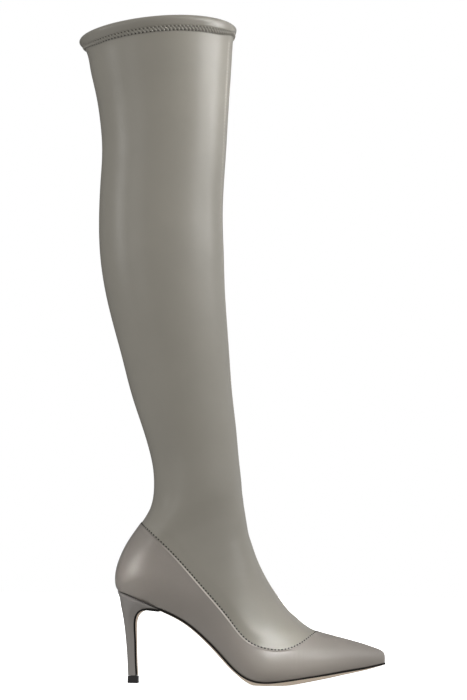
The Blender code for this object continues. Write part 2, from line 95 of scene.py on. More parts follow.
# Sole and heel
SOLE_GAP = 0.1
SOLE_TOE_REACH = 0.15
INSOLE_THICKNESS = 1.6
INSOLE_INSET = 2.8
INSOLE_BACK_INSET = 6.5
TIP_HEIGHT = 6.8

# Mesh density
HALF_COLUMNS = 100
FOOT_STEPS = 8
FINE_STEPS = 18
FINE_ROWS = ("vamp_front", "vamp", "ball_inner", "ball_outer")
LEG_STEPS = 7
SEAT_STEPS = 14
PROFILE_SAMPLES = 801
CUT_SNAP = 0.05
SNAP_REACH = 0.45
SNAP_SHARE = 0.35
SLOPE_STEP = 0.05
SAME_PLACE = 1e-6

# Folds sharper than this many degrees are shaded as edges
SKIN_EDGE = 70
SOFT_EDGE = 60
HARD_EDGE = 50


def named_rows(columns, rows):
    """Rows of values as tuples with named columns."""
    row_type = namedtuple("Row", columns)
    return [row_type(*row) for row in rows]


SECTION = "top_x top_z sole_x sole_z out inn sole_out sole_in widest swing blunt"
FOOT = named_rows("name " + SECTION, [
    ("toe_end", 0.996, 0.178, 0.996, 0.2575, 0.030, 0.030, 0.018, 0.018, 0.50, 8.0, 2.00),
    ("toe_edge", 0.994, 0.202, 0.994, 0.2555, 0.085, 0.085, 0.065, 0.065, 0.42, 8.0, 2.00),
    ("toe_round", 0.985, 0.222, 0.985, 0.249, 0.138, 0.138, 0.112, 0.112, 0.36, 8.0, 2.00),
    ("toe_tip", 0.965, 0.238, 0.966, 0.236, 0.205, 0.205, 0.172, 0.172, 0.33, 7.8, 2.00),
    ("toe_point", 0.923, 0.262, 0.924, 0.209, 0.322, 0.322, 0.280, 0.280, 0.30, 7.3, 1.95),
    ("toe_box", 0.856, 0.294, 0.857, 0.175, 0.490, 0.490, 0.434, 0.434, 0.28, 6.2, 1.90),
    ("vamp_front", 0.782, 0.326, 0.784, 0.135, 0.668, 0.678, 0.598, 0.610, 0.25, 4.8, 1.80),
    ("vamp", 0.717, 0.364, 0.695, 0.091, 0.840, 0.862, 0.752, 0.776, 0.23, 3.4, 1.75),
    ("ball_inner", 0.675, 0.416, 0.614, 0.055, 0.972, 0.998, 0.862, 0.888, 0.21, 2.2, 1.70),
    ("ball_outer", 0.641, 0.467, 0.533, 0.053, 1.012, 0.978, 0.888, 0.846, 0.20, 1.0, 1.65),
    ("waist_front", 0.610, 0.533, 0.466, 0.149, 0.964, 0.896, 0.796, 0.710, 0.21, 0.2, 1.65),
    ("waist", 0.578, 0.612, 0.399, 0.346, 0.890, 0.832, 0.668, 0.562, 0.29, 0.0, 1.78),
    ("arch", 0.552, 0.685, 0.335, 0.527, 0.840, 0.796, 0.584, 0.498, 0.37, 0.0, 1.92),
    ("shank", 0.530, 0.760, 0.264, 0.687, 0.808, 0.782, 0.548, 0.508, 0.40, 0.0, 2.15),
    ("seat_front", 0.512, 0.836, 0.178, 0.810, 0.790, 0.776, 0.545, 0.530, 0.37, 0.0, 2.30),
    ("seat", 0.497, 0.910, 0.104, 0.899, 0.780, 0.776, 0.538, 0.532, 0.33, 0.0, 2.45),
    ("seat_rear", 0.488, 0.965, 0.035, 0.979, 0.778, 0.778, 0.400, 0.400, 0.31, 0.0, 2.55),
    ("seat_back", 0.484, 1.003, 0.011, 1.006, 0.778, 0.778, 0.0, 0.0, 0.30, 0.0, 2.60),
    ("counter", 0.480, 1.041, 0.001, 1.148, 0.780, 0.780, 0.0, 0.0, 0.31, 0.0, 2.60),
    ("counter_mid", 0.476, 1.082, 0.014, 1.328, 0.786, 0.786, 0.0, 0.0, 0.35, 0.0, 2.50),
    ("counter_top", 0.472, 1.120, 0.040, 1.498, 0.808, 0.808, 0.0, 0.0, 0.41, 0.0, 2.35),
    ("topline_back", 0.469, 1.158, 0.086, 1.701, 0.836, 0.836, 0.0, 0.0, 0.46, 0.0, 2.15),
    ("heel_cord", 0.465, 1.206, 0.127, 1.888, 0.866, 0.866, 0.0, 0.0, 0.49, 0.0, 2.05),
])
SEAT_ROW = "seat"
SEAT_BACK_ROW = "seat_back"
SEAT_FADE = 10.0
SEAT_FADE_BELOW = 0.6

LEG = named_rows("name up middle depth width slant", [
    ("ankle", 0.311, 57.5, 0.701, 0.702, 1.0),
    ("ankle_top", 0.342, 55.2, 0.702, 0.706, 1.0),
    ("shin_low", 0.388, 49.8, 0.747, 0.750, 1.0),
    ("shin", 0.443, 42.1, 0.811, 0.816, 1.0),
    ("calf_low", 0.499, 36.0, 0.866, 0.872, 1.0),
    ("calf_mid", 0.554, 29.9, 0.924, 0.932, 1.0),
    ("calf_high", 0.610, 24.5, 0.974, 0.974, 1.0),
    ("calf", 0.665, 21.4, 1.004, 0.996, 1.0),
    ("calf_top", 0.721, 20.1, 1.003, 1.000, 1.0),
    ("below_knee", 0.776, 21.0, 1.003, 1.000, 1.0),
    ("knee", 0.823, 22.3, 1.008, 1.006, 1.5),
    ("above_knee", 0.869, 21.8, 1.038, 1.042, 2.0),
    ("thigh_low", 0.915, 20.2, 1.091, 1.100, 3.5),
    ("thigh", 0.955, 18.2, 1.149, 1.160, 6.5),
    ("collar_seam", 0.983, 17.0, 1.186, 1.206, 11.0),
    ("collar_edge", 1.002, 15.0, 1.240, 1.250, 13.0),
])
COLLAR_SEAM_ROW = "collar_seam"

SOLE_CROWN = {
    "toe_end": 0.2, "toe_point": 1.4, "vamp": 4.2, "ball_inner": 4.4, "ball_outer": 4.4,
    "waist_front": 2.2, "waist": 2.2, "shank": 1.3, "seat_front": 0.9,
}
CROWN_POWER = 4
SOLE_MARGINS = {"toe_end": 0.15, "toe_point": 0.3, "vamp": 0.6, "seat_front": 0.6}
SOLE_EDGE = {
    "toe_end": 1.4, "toe_point": 1.6, "toe_box": 1.7, "vamp": 1.4, "ball_inner": 1.4, "ball_outer": 1.4,
    "waist": 1.6, "shank": 1.7, "seat_front": 1.9,
}
SOLE_LEVEL_FROM = "toe_round"
SOLE_ENDS_AT = "seat_front"
INSOLE_STARTS_AT = "toe_point"

# The heel from its tip up, and the sole's flap from the seat down its breast, which the heel's front follows
HEEL = named_rows("name back_x back_z half_width", [
    ("tip", -4.4, 7.1, 5.0),
    ("stem_low", -5.4, 25.5, 5.4),
    ("stem", -6.9, 41.2, 6.5),
    ("stem_high", -8.8, 56.0, 9.0),
    ("neck", -10.6, 65.6, 11.6),
    ("flare", -12.0, 72.4, 15.0),
    ("cup", -13.1, 78.4, 19.2),
    ("seat_low", -14.1, 81.4, 22.2),
    ("seat", -14.9, 84.5, 23.6),
])
FLAP = named_rows("name x z half_width thickness", [
    ("seat", 24.4, 68.2, 21.6, 2.4),
    ("seat_low", 16.6, 68.7, 20.0, 2.1),
    ("cup", 10.4, 68.2, 17.0, 1.6),
    ("flare", 5.2, 65.7, 13.4, 1.6),
    ("neck", 2.1, 61.0, 10.4, 1.7),
    ("stem_high", 1.0, 53.4, 8.2, 1.7),
    ("stem", 1.5, 40.4, 6.0, 1.7),
    ("stem_low", 2.0, 25.5, 5.0, 1.7),
    ("tip", 3.1, 7.1, 4.6, 1.7),
])
HEEL_STEPS = 8
HEEL_ROUND = 0.62
HEEL_SIDE_POINTS = 28
HEEL_FLAT_POINTS = 7

TIP_BACK_X = -4.7
TIP_FRONT_X = 5.3
TIP_HALF_WIDTH = 5.5
TIP_ROUND = 0.55

# Sizes of one section, or of many at once, in mm
Sizes = namedtuple("Sizes", SECTION)
Form = namedtuple("Form", "knots rows names")
Surface = namedtuple("Surface", "points normals triangles")
Cut = namedtuple("Cut", "points normals faces on_line")


def spline(at, knots, values):
    """The natural cubic curve through the values at the knots, read at other places."""
    at, knots, values = (np.asarray(a, float) for a in (at, knots, values))
    step = np.diff(knots)
    system = np.eye(len(knots))
    right = np.zeros_like(values)
    for k in range(1, len(knots) - 1):
        system[k, k - 1 : k + 2] = step[k - 1], 2 * (step[k - 1] + step[k]), step[k]
        right[k] = 6 * ((values[k + 1] - values[k]) / step[k] - (values[k] - values[k - 1]) / step[k - 1])
    bend = np.linalg.solve(system, right)
    k = np.clip(np.searchsorted(knots, at) - 1, 0, len(knots) - 2)
    near = (at - knots[k]) / step[k]
    size = step[k]
    if values.ndim > 1:
        near, size = near[..., None], size[..., None]
    far = 1 - near
    bent = ((far**3 - far) * bend[k] + (near**3 - near) * bend[k + 1]) * size**2 / 6
    return far * values[k] + near * values[k + 1] + bent


def smooth(share):
    """0 to 1 with level ends."""
    share = np.clip(share, 0, 1)
    return share * share * (3 - 2 * share)


def window(at, start, end, rise, fall):
    """1 between start and end, with level ends over those distances inside them, and 0 outside."""
    return smooth((at - start) / rise) * smooth((end - at) / fall)


def unit(vectors):
    length = np.linalg.norm(vectors, axis=-1, keepdims=True)
    return vectors / np.where(length > 0, length, 1)


def chord_lengths(points):
    """Distance along a row of points, from the first one."""
    return np.concatenate([[0], np.cumsum(np.linalg.norm(np.diff(points, axis=0), axis=1))])


def finer(rows, steps):
    """Rows of a curve, each interval divided into that many steps. Their first two columns are places."""
    along = chord_lengths(rows[:, :2])
    shares = np.arange(steps * (len(rows) - 1) + 1) / steps
    return spline(np.interp(shares, np.arange(len(rows)), along), along, rows)


def read_along(at, along, rows):
    """Rows of x, y and z that go with places along a line, read at other places."""
    return np.stack([np.interp(at, along, rows[:, k]) for k in range(3)], axis=-1)


def boot_form():
    """Every section from the toe to the collar as one table of sizes in mm, with its place along the boot."""
    half_ball = BALL_WIDTH / 2
    rows = []
    for f in FOOT:
        rows.append(Sizes(
            HEEL_BACK_X + f.top_x * FOOT_LENGTH, f.top_z * INSTEP_HEIGHT,
            HEEL_BACK_X + f.sole_x * FOOT_LENGTH, f.sole_z * HEEL_HEIGHT,
            f.out * half_ball, f.inn * half_ball, f.sole_out * half_ball, f.sole_in * half_ball,
            f.widest, f.swing, f.blunt,
        ))
    for s in LEG:
        depth, width, height = s.depth * CALF_DEPTH, s.width * CALF_WIDTH, s.up * COLLAR_HEIGHT
        rows.append(Sizes(
            s.middle + depth / 2, height + s.slant / 2, s.middle - depth / 2, height - s.slant / 2,
            width / 2, width / 2, sole_out=0.0, sole_in=0.0, widest=0.5, swing=0.0, blunt=2.0,
        ))
    tops = [(r.top_x, r.top_z) for r in rows]
    soles = [(r.sole_x, r.sole_z) for r in rows]
    knots = (chord_lengths(tops) + chord_lengths(soles)) / 2
    return Form(knots, rows, [s.name for s in FOOT + LEG])


FORM = boot_form()


def station_of(name):
    return FORM.knots[FORM.names.index(name)]


def sections_at(stations):
    """The table's sizes read between its rows. The seat closes round the back of the heel as an ellipse."""
    stations = np.asarray(stations, float)
    sizes = Sizes(*spline(stations, FORM.knots, FORM.rows).T)
    start, end = station_of(SEAT_ROW), station_of(SEAT_BACK_ROW)
    seat = FORM.rows[FORM.names.index(SEAT_ROW)]
    closing = np.sqrt(np.clip(1 - np.clip((stations - start) / (end - start), 0, 1) ** 2, 0, 1))
    return sizes._replace(
        sole_out=np.where(stations > start, seat.sole_out * closing, sizes.sole_out),
        sole_in=np.where(stations > start, seat.sole_in * closing, sizes.sole_in))


def half_profile(height, sole, wide, widest, blunt, columns):
    """One side of a section, from its sole edge to its top: (share of the height, half width) pairs."""
    turn = np.linspace(0, math.pi, PROFILE_SAMPLES)
    up = (1 - np.cos(turn)) / 2
    near = np.clip(1 - up / widest, 0, 1)
    share = sole / wide
    hold = 2 + SEAT_FADE * np.clip(1 - share / SEAT_FADE_BELOW, 0, 1) ** 2
    low = np.sqrt(1 - near**2 + share**2 * near**hold)
    high = (1 - np.clip((up - widest) / (1 - widest), 0, 1) ** blunt) ** (1 / blunt)
    out = wide * np.where(up < widest, low, high)
    along = chord_lengths(np.column_stack([up * height, out]))
    even = np.linspace(0, along[-1], columns + 1)
    return np.interp(even, along, up), np.interp(even, along, out)


def loops_at(stations, columns=HALF_COLUMNS):
    """Outer points of the boot: a loop for each station, from the outer sole edge over to the inner one."""
    loops = []
    for s in map(Sizes._make, np.column_stack(sections_at(stations))):
        height = math.hypot(s.top_x - s.sole_x, s.top_z - s.sole_z)
        outer = (-1, s.out, s.sole_out, COLLAR_RISE_OUT)
        inner = (1, s.inn, s.sole_in, COLLAR_RISE_IN)
        sides = []
        for side, wide, sole, rise in (outer, inner):
            up, across = half_profile(height, max(sole, 0.0), wide, s.widest, s.blunt, columns)
            x = s.sole_x + up * (s.top_x - s.sole_x)
            z = s.sole_z + up * (s.top_z - s.sole_z)
            near = smooth((z - COLLAR_RISE_FROM) / (COLLAR_HEIGHT - COLLAR_RISE_FROM))
            lean = 1 + COLLAR_RISE_LEAN * (2 * up - 1)
            lift = rise * near * lean * (across / wide) ** COLLAR_RISE_POWER
            sides.append(np.column_stack([x, s.swing + side * across, z + lift]))
        loops.append(np.vstack([sides[0], sides[1][-2::-1]]))
    return np.array(loops)


def above_topline(points):
    """Signed distance of points above the upper's topline, as seen from the side."""
    x = np.clip(points[..., 0], TOPLINE_X[0], TOPLINE_X[-1])
    line = spline(x, TOPLINE_X, TOPLINE_Z)
    ahead = spline(np.minimum(x + TOPLINE_STEP, TOPLINE_X[-1]), TOPLINE_X, TOPLINE_Z)
    behind = spline(np.maximum(x - TOPLINE_STEP, TOPLINE_X[0]), TOPLINE_X, TOPLINE_Z)
    slope = (ahead - behind) / (2 * TOPLINE_STEP)
    toe = np.clip(points[..., 0] - TOPLINE_X[-1], 0, None)
    return (points[..., 2] - line) / np.sqrt(1 + slope**2) - toe


def uphill(points, normals):
    """Unit direction along the surface in which the distance above the topline grows, and its rate."""
    gradient = np.zeros_like(points)
    for axis in (0, 2):
        move = np.zeros(3)
        move[axis] = SLOPE_STEP
        rise = above_topline(points + move) - above_topline(points - move)
        gradient[:, axis] = rise / (2 * SLOPE_STEP)
    along = gradient - (gradient * normals).sum(1)[:, None] * normals
    return unit(along), np.linalg.norm(along, axis=1)


def fine_stations(first, last):
    """Stations between two places: the table's intervals divided, and the seat's close by its ellipse."""
    start, end = station_of(SEAT_ROW), station_of(SEAT_BACK_ROW)
    steps = [FINE_STEPS if s.name in FINE_ROWS else FOOT_STEPS for s in FOOT] + [LEG_STEPS] * (len(LEG) - 1)
    every = []
    for k, count in enumerate(steps):
        every.append(np.linspace(FORM.knots[k], FORM.knots[k + 1], count, endpoint=False))
    every = np.concatenate(every + [FORM.knots[-1:]])
    every = every[(every < start) | (every > end)]
    seat = start + (end - start) * np.sin(np.linspace(0, math.pi / 2, SEAT_STEPS))
    every = np.sort(np.concatenate([every, seat]))
    inside = every[(every > first) & (every < last)]
    return np.concatenate([[first], inside, [last]])


def point_normals(points, triangles):
    """Outward unit normal at each point of an open surface."""
    corners = points[triangles]
    facing = np.cross(corners[:, 1] - corners[:, 0], corners[:, 2] - corners[:, 0])
    total = np.zeros_like(points)
    for k in range(3):
        np.add.at(total, triangles[:, k], facing)
    return unit(total)


def boot_surface():
    """The outer form as one open surface. The toe is one point, and the two sole edges become one line up
    the back where the sole has closed."""
    stations = fine_stations(0, station_of(COLLAR_SEAM_ROW) + BAND_COVERS)
    loops = loops_at(stations)
    columns = loops.shape[1]
    numbers = np.arange(loops.shape[0] * columns).reshape(loops.shape[:2])
    numbers[0, :] = 0
    closed = stations > station_of(SEAT_BACK_ROW) - SAME_PLACE
    numbers[closed, -1] = numbers[closed, 0]
    a, b, d, e = numbers[:-1, :-1], numbers[:-1, 1:], numbers[1:, 1:], numbers[1:, :-1]
    outer = np.arange(columns - 1) < HALF_COLUMNS
    pairs = [
        np.stack([a, b, np.where(outer, d, e)], axis=-1),
        np.stack([np.where(outer, a, b), d, e], axis=-1),
    ]
    triangles = np.concatenate([p.reshape(-1, 3) for p in pairs])
    first, second, third = triangles.T
    triangles = triangles[(first != second) & (second != third) & (third != first)]
    points = loops.reshape(-1, 3)
    return Surface(points, point_normals(points, triangles), triangles)


def shortest_edges(surface):
    """Length of the shortest edge at each point."""
    shortest = np.full(len(surface.points), np.inf)
    for one, other in ((0, 1), (1, 2), (2, 0)):
        ends = surface.triangles[:, [one, other]]
        length = np.linalg.norm(surface.points[ends[:, 0]] - surface.points[ends[:, 1]], axis=1)
        np.minimum.at(shortest, ends[:, 0], length)
        np.minimum.at(shortest, ends[:, 1], length)
    return shortest


def snap_to_level(surface, level):
    """Moves the points that lie near one distance above the topline onto it, along the surface."""
    off = above_topline(surface.points) - level
    near = np.abs(off) < np.minimum(SNAP_REACH, SNAP_SHARE * shortest_edges(surface))
    direction, rate = uphill(surface.points[near], surface.normals[near])
    points = surface.points.copy()
    points[near] -= direction * (off[near] / rate)[:, None]
    return surface._replace(points=points)


def clip_surface(surface, keep):
    """The part of an open surface where keep is not below zero, cut along the line where it is zero."""
    keep = np.where(np.abs(keep) < CUT_SNAP, 0.0, keep)
    values = keep[surface.triangles]
    some = values.max(1) > 0
    faces = surface.triangles[some & (values.min(1) >= 0)].tolist()
    points, normals, cuts = list(surface.points), list(surface.normals), {}

    def cut_between(a, b):
        pair = (min(a, b), max(a, b))
        if pair not in cuts:
            share = keep[pair[0]] / (keep[pair[0]] - keep[pair[1]])
            cuts[pair] = len(points)
            for rows in (points, normals):
                rows.append(rows[pair[0]] * (1 - share) + rows[pair[1]] * share)
        return cuts[pair]

    for triangle in surface.triangles[some & (values.min(1) < 0)].tolist():
        face = []
        for a, b in zip(triangle, triangle[1:] + triangle[:1]):
            if keep[a] >= 0:
                face.append(a)
            if keep[a] * keep[b] < 0:
                face.append(cut_between(a, b))
        faces.append(face)
    used = {}
    faces = [[used.setdefault(k, len(used)) for k in face] for face in faces]
    order = np.array(list(used))
    on_line = np.concatenate([keep == 0, np.ones(len(cuts), bool)])
    return Cut(np.array(points)[order], unit(np.array(normals)[order]), faces, on_line[order])


def open_edges(faces):
    """The directed edges that belong to one face only."""
    edges = {(a, b) for face in faces for a, b in zip(face, face[1:] + face[:1])}
    return [(a, b) for a, b in edges if (b, a) not in edges]


def chain(edges):
    """The point numbers of one closed row of directed edges, in order."""
    after = dict(edges)
    start = min(after)
    row = [start]
    while after[row[-1]] != start:
        row.append(after[row[-1]])
    return row


def strip_faces(first, second):
    """Quads that carry on from a closed row of points to the next row."""
    ends = zip(first, first[1:] + first[:1], second, second[1:] + second[:1])
    return [[b, a, c, d] for a, b, c, d in ends]


def add_object(name, data):
    made = bpy.data.objects.new(name, data)
    bpy.context.scene.collection.objects.link(made)
    return made


def add_piece(name, points, faces, materials, kinds=None, sharp=None):
    """A smooth mesh piece that rides on the boot. Points are in mm, and kinds are the faces' materials."""
    mesh = bpy.data.meshes.new(name)
    points = (np.asarray(points, float) + (BOOT_X, 0.0, 0.0)) * MM
    mesh.from_pydata([tuple(p) for p in points], [], [list(f) for f in faces])
    for material in materials:
        mesh.materials.append(material)
    if kinds is not None:
        mesh.polygons.foreach_set("material_index", np.asarray(kinds, np.int32))
    mesh.validate()
    mesh.shade_smooth()
    if sharp is not None:
        mesh.set_sharp_from_angle(angle=math.radians(sharp))
    piece = add_object(name, mesh)
    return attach(piece, "root")


def grid_faces(rows, count, closed=True, around=False):
    """Quads between rows of equal count. Rows may be closed loops, and the last may join on to the first."""
    faces = []
    for r in range(rows if around else rows - 1):
        s = (r + 1) % rows
        for c in range(count if closed else count - 1):
            d = (c + 1) % count
            faces.append([r * count + c, r * count + d, s * count + d, s * count + c])
    return faces


def loft_faces(rows, count):
    """Quads between closed loops of equal count, with a cap at both ends."""
    last = (rows - 1) * count
    return grid_faces(rows, count) + [list(range(count - 1, -1, -1)), list(range(last, last + count))]


def add_loft(name, loops, material):
    """A capped piece through closed loops."""
    faces = loft_faces(len(loops), len(loops[0]))
    return add_piece(name, np.vstack(loops), faces, [material], sharp=HARD_EDGE)


# Materials

# Most of a noise lies between these
NOISE_LOW = 0.3
NOISE_HIGH = 0.7
# The wave texture's period at scale 1
WAVE_PERIOD = 0.314
# How much finer than its pebbles a leather's finest grain is
FINE_GRAIN = 2.5


def node(tree, kind, inputs=None, **settings):
    """A shader node with its settings, and its inputs as plain values or as other nodes' outputs."""
    made = tree.nodes.new("ShaderNode" + kind)
    for name, value in settings.items():
        setattr(made, name, value)
    for name, value in (inputs or {}).items():
        if isinstance(value, bpy.types.NodeSocket):
            tree.links.new(value, made.inputs[name])
        else:
            made.inputs[name].default_value = value
    return made


def calculate(tree, operation, *values):
    """The result of one math node."""
    return node(tree, "Math", dict(enumerate(values)), operation=operation).outputs["Value"]


def principled(name, sockets):
    """A new material and its tree, with the plain values set on the shader's own sockets."""
    material = bpy.data.materials.new(name)
    material.use_nodes = True
    tree = material.node_tree
    for socket, value in sockets.items():
        tree.nodes["Principled BSDF"].inputs[socket].default_value = value
    return material, tree


def dress(material, colour, height, strength, depth, roughness=None):
    """Gives a material the colour, the roughness and the bump of that depth in mm that vary over it."""
    tree = material.node_tree
    bump = node(tree, "Bump", {"Height": height, "Strength": strength, "Distance": depth * MM})
    varied = {"Base Color": colour, "Normal": bump.outputs["Normal"]}
    if roughness is not None:
        varied["Roughness"] = roughness
    for socket, output in varied.items():
        tree.links.new(output, tree.nodes["Principled BSDF"].inputs[socket])
    return material


def ramp(tree, factor, stops):
    """A colour that follows the factor through stops, each a place and a colour."""
    made = node(tree, "ValToRGB", {"Fac": factor})
    elements = made.color_ramp.elements
    for place, _ in stops[1:-1]:
        elements.new(place)
    for element, (place, colour) in zip(elements, stops):
        element.position = place
        element.color = (*colour, 1.0)
    return made.outputs["Color"]


def two_tone(tree, factor, colour, dark, light, low=NOISE_LOW, high=NOISE_HIGH):
    """A colour that runs from its dark share to its light one as the factor goes from low to high."""
    tones = [[min(c * share, 1.0) for c in colour] for share in (dark, light)]
    return ramp(tree, factor, list(zip((low, high), tones)))


def spread(tree, factor, low, high):
    """A number between low and high that follows a noise."""
    made = node(tree, "MapRange", {
        "Value": factor, "From Min": NOISE_LOW, "From Max": NOISE_HIGH, "To Min": low, "To Max": high})
    return made.outputs["Result"]


def noise(tree, where, scale, detail=3.0):
    return node(tree, "TexNoise", {"Vector": where, "Scale": scale, "Detail": detail}).outputs["Fac"]


def wave(tree, where, direction, scale, distortion):
    made = node(tree, "TexWave", {"Vector": where, "Scale": scale, "Distortion": distortion},
                bands_direction=direction)
    return made.outputs["Fac"]


# Where the folded edge is painted lighter, a painted highlight where the light catches its roll over the
# edge's own slightly paler tone: how far along the foot, and how much of the lighter colour
EDGE_HIGHLIGHT_ALONG = named_rows("x share", [(24.0, 0.0), (54.0, 1.0), (84.0, 1.0), (124.0, 0.0)])


def painted_highlight_along(tree, where, plain, highlight_tone):
    """A colour between plain and the painted highlight tone, by its place along the foot."""
    along = node(tree, "SeparateXYZ", {"Vector": where}).outputs["X"]
    start, end = EDGE_HIGHLIGHT_ALONG[0].x, EDGE_HIGHLIGHT_ALONG[-1].x
    share = node(tree, "MapRange", {
        "Value": along, "From Min": (start + BOOT_X) * MM, "From Max": (end + BOOT_X) * MM})
    stops = []
    for place in EDGE_HIGHLIGHT_ALONG:
        mixed = [a + (b - a) * place.share for a, b in zip(plain, highlight_tone)]
        stops.append(((place.x - start) / (end - start), mixed))
    return ramp(tree, share.outputs["Result"], stops)


def leather(name, colour, roughness, grain=0.9, highlight_tone=None):
    """Smooth finished leather: faint mottling, a pebbled grain of that size in mm, and a thin dressing.

    With a highlight tone it is painted lighter along the foot, as a painted highlight, instead of mottled.
    """
    material, tree = principled(name, {
        "Specular IOR Level": 0.65, "Coat Weight": 0.25, "Coat Roughness": 0.26, "Coat IOR": 1.5})
    where = node(tree, "TexCoord").outputs["Object"]
    if highlight_tone is None:
        tone = two_tone(tree, noise(tree, where, scale=22.0, detail=5.0), colour, dark=0.96, light=1.04)
    else:
        tone = painted_highlight_along(tree, where, colour, highlight_tone)
    gloss = spread(tree, noise(tree, where, scale=140.0), low=roughness - 0.03, high=roughness + 0.04)
    scale = 1 / (grain * MM)
    cells = node(tree, "TexVoronoi", {"Vector": where, "Scale": scale}).outputs["Distance"]
    height = calculate(tree, "ADD", cells, noise(tree, where, scale * FINE_GRAIN))
    return dress(material, tone, height, strength=0.3, depth=0.05, roughness=gloss)


def woven(name, colour, pitch=0.7):
    """A matt knitted lining: fine crossed ribs of that pitch in mm."""
    material, tree = principled(name, {"Roughness": 0.85, "Specular IOR Level": 0.25, "Sheen Weight": 0.2})
    where = node(tree, "TexCoord").outputs["Object"]
    scale = WAVE_PERIOD / (pitch * MM)
    ribs = [wave(tree, where, direction, scale, distortion=0.6) for direction in ("DIAGONAL", "Z")]
    cross = calculate(tree, "MULTIPLY", *ribs)
    tone = two_tone(tree, cross, colour, dark=0.82, light=1.08, low=0.1, high=0.8)
    return dress(material, tone, cross, strength=0.5, depth=0.08)


def sole_tan(name, colour):
    """Vegetable tanned sole leather: fibres along the foot, faint scuffs and a dull polish."""
    material, tree = principled(name, {"Specular IOR Level": 0.45, "Coat Weight": 0.1})
    where = node(tree, "TexCoord").outputs["Object"]
    along = node(tree, "Mapping", {"Vector": where, "Scale": (60.0, 900.0, 400.0)}).outputs["Vector"]
    fibres = noise(tree, along, scale=1.0, detail=5.0)
    tone = two_tone(tree, fibres, colour, dark=0.9, light=1.06)
    scuffs = spread(tree, noise(tree, where, scale=60.0), low=0.42, high=0.55)
    return dress(material, tone, fibres, strength=0.25, depth=0.06, roughness=scuffs)


def dark_paint(name, colour, roughness, scale, depth, gloss):
    """A dark finish with a fine irregular surface: edge paint or moulded rubber."""
    material, tree = principled(name, {"Specular IOR Level": gloss})
    rough = noise(tree, node(tree, "TexCoord").outputs["Object"], scale, detail=4.0)
    tone = two_tone(tree, rough, colour, dark=0.8, light=1.3)
    dull = spread(tree, rough, low=roughness - 0.05, high=roughness + 0.08)
    return dress(material, tone, rough, strength=0.3, depth=depth, roughness=dull)


def thread(name, colour):
    """Twisted sewing thread."""
    material, tree = principled(name, {"Roughness": 0.7, "Specular IOR Level": 0.3, "Sheen Weight": 0.15})
    twist = wave(tree, node(tree, "TexCoord").outputs["Object"], "DIAGONAL", scale=900.0, distortion=1.0)
    tone = two_tone(tree, twist, colour, dark=0.7, light=1.25)
    return dress(material, tone, twist, strength=0.4, depth=0.05)


SHAFT_TAUPE = (0.212, 0.196, 0.160)
# The seam's leather is lighter than the shaft's
SEAM_TAUPE = (0.262, 0.243, 0.200)
FOOT_TAUPE = (0.206, 0.182, 0.157)
# Darker than the shaft: partly the band's own darker tone, partly painted shade of the roll's downward-facing
# half
BAND_TAUPE_AND_SHADE = (0.184, 0.170, 0.139)
# Painted highlight: the rolled edge's lighter colour stands in for light catching the roll, over its own
# slightly paler tone
ROLLED_EDGE_HIGHLIGHT_TAUPE = (0.540, 0.495, 0.440)
HEEL_TAUPE = (0.208, 0.190, 0.173)
LINING_GREY = (0.36, 0.335, 0.30)
# Paler than the tan's own colour: painted light of the white floor's bounce on the sole's bottom
SOLE_TAN_AND_BOUNCE = (0.82, 0.67, 0.52)
EDGE_BLACK = (0.007, 0.006, 0.005)
# Painted shade: a dark strip in the gap between heel and upper stands in for the shadow there
SEAT_GAP_SHADE_DARK = (0.075, 0.066, 0.061)
RUBBER_BLACK = (0.018, 0.017, 0.017)
# Near-black thread: its own dark colour, with painted shade of the stitch holes and of the band's lower edge
THREAD_DARK_AND_SHADE = (0.022, 0.020, 0.018)
THREAD_TAUPE = (0.440, 0.415, 0.375)

UPPER_LEATHER = leather("satin_leather", FOOT_TAUPE, 0.34)
ROLLED_EDGE_HIGHLIGHT_LEATHER = leather("rolled_edge_leather_painted_highlight", FOOT_TAUPE, 0.34, highlight_tone=ROLLED_EDGE_HIGHLIGHT_TAUPE)
SHAFT_LEATHER = leather("satin_stretch_leather", SHAFT_TAUPE, 0.37, grain=0.8)
SEAM_LEATHER = leather("lighter_seam_leather", SEAM_TAUPE, 0.37, grain=0.8)
BAND_LEATHER_AND_SHADE = leather("satin_band_leather_painted_shade", BAND_TAUPE_AND_SHADE, 0.36)
HEEL_LEATHER = leather("satin_heel_cover", HEEL_TAUPE, 0.38)
LINING = woven("knitted_lining", LINING_GREY)
SOCK = woven("sock_fabric", LINING_GREY, pitch=0.9)
TAN_AND_BOUNCE = sole_tan("tan_sole_leather", SOLE_TAN_AND_BOUNCE)
BLACK_EDGE = dark_paint("black_edge_paint", EDGE_BLACK, 0.5, scale=500.0, depth=0.03, gloss=0.12)
SEAT_GAP_SHADE = dark_paint("seat_gap_painted_shade", SEAT_GAP_SHADE_DARK, 0.6, scale=500.0, depth=0.03, gloss=0.3)
RUBBER = dark_paint("black_tip_rubber", RUBBER_BLACK, 0.55, scale=900.0, depth=0.05, gloss=0.3)
DARK_THREAD_AND_SHADE = thread("dark_thread_and_painted_shade", THREAD_DARK_AND_SHADE)
TAUPE_THREAD = thread("taupe_thread", THREAD_TAUPE)


# The upper and the shaft

def edge_share(points):
    """How thick the upper's folded edge is: full along the sides, thin where it ends at back and throat."""
    x = points[..., 0]
    inside = window(x, EDGE_BACK_X, EDGE_THROAT_X, EDGE_END_OVER, EDGE_END_OVER)
    return EDGE_END_SHARE + (1 - EDGE_END_SHARE) * inside


def upper_wall(points, above):
    """Thickness of the upper: thin at its folded top edge, full further down."""
    thin = 2 * EDGE_ROUND * edge_share(points)
    return thin + (UPPER_WALL - thin) * smooth(-(above + EDGE_STRIP) / SKIVED_OVER)


def shaft_drop(points, above):
    """How far the shaft's face lies inside the form: under the upper's edge, then out to the form."""
    under = upper_wall(points, above) + SHAFT_CLEAR
    return under * (1 - smooth((above - SHAFT_DROP_FROM) / SHAFT_DROP_OVER))


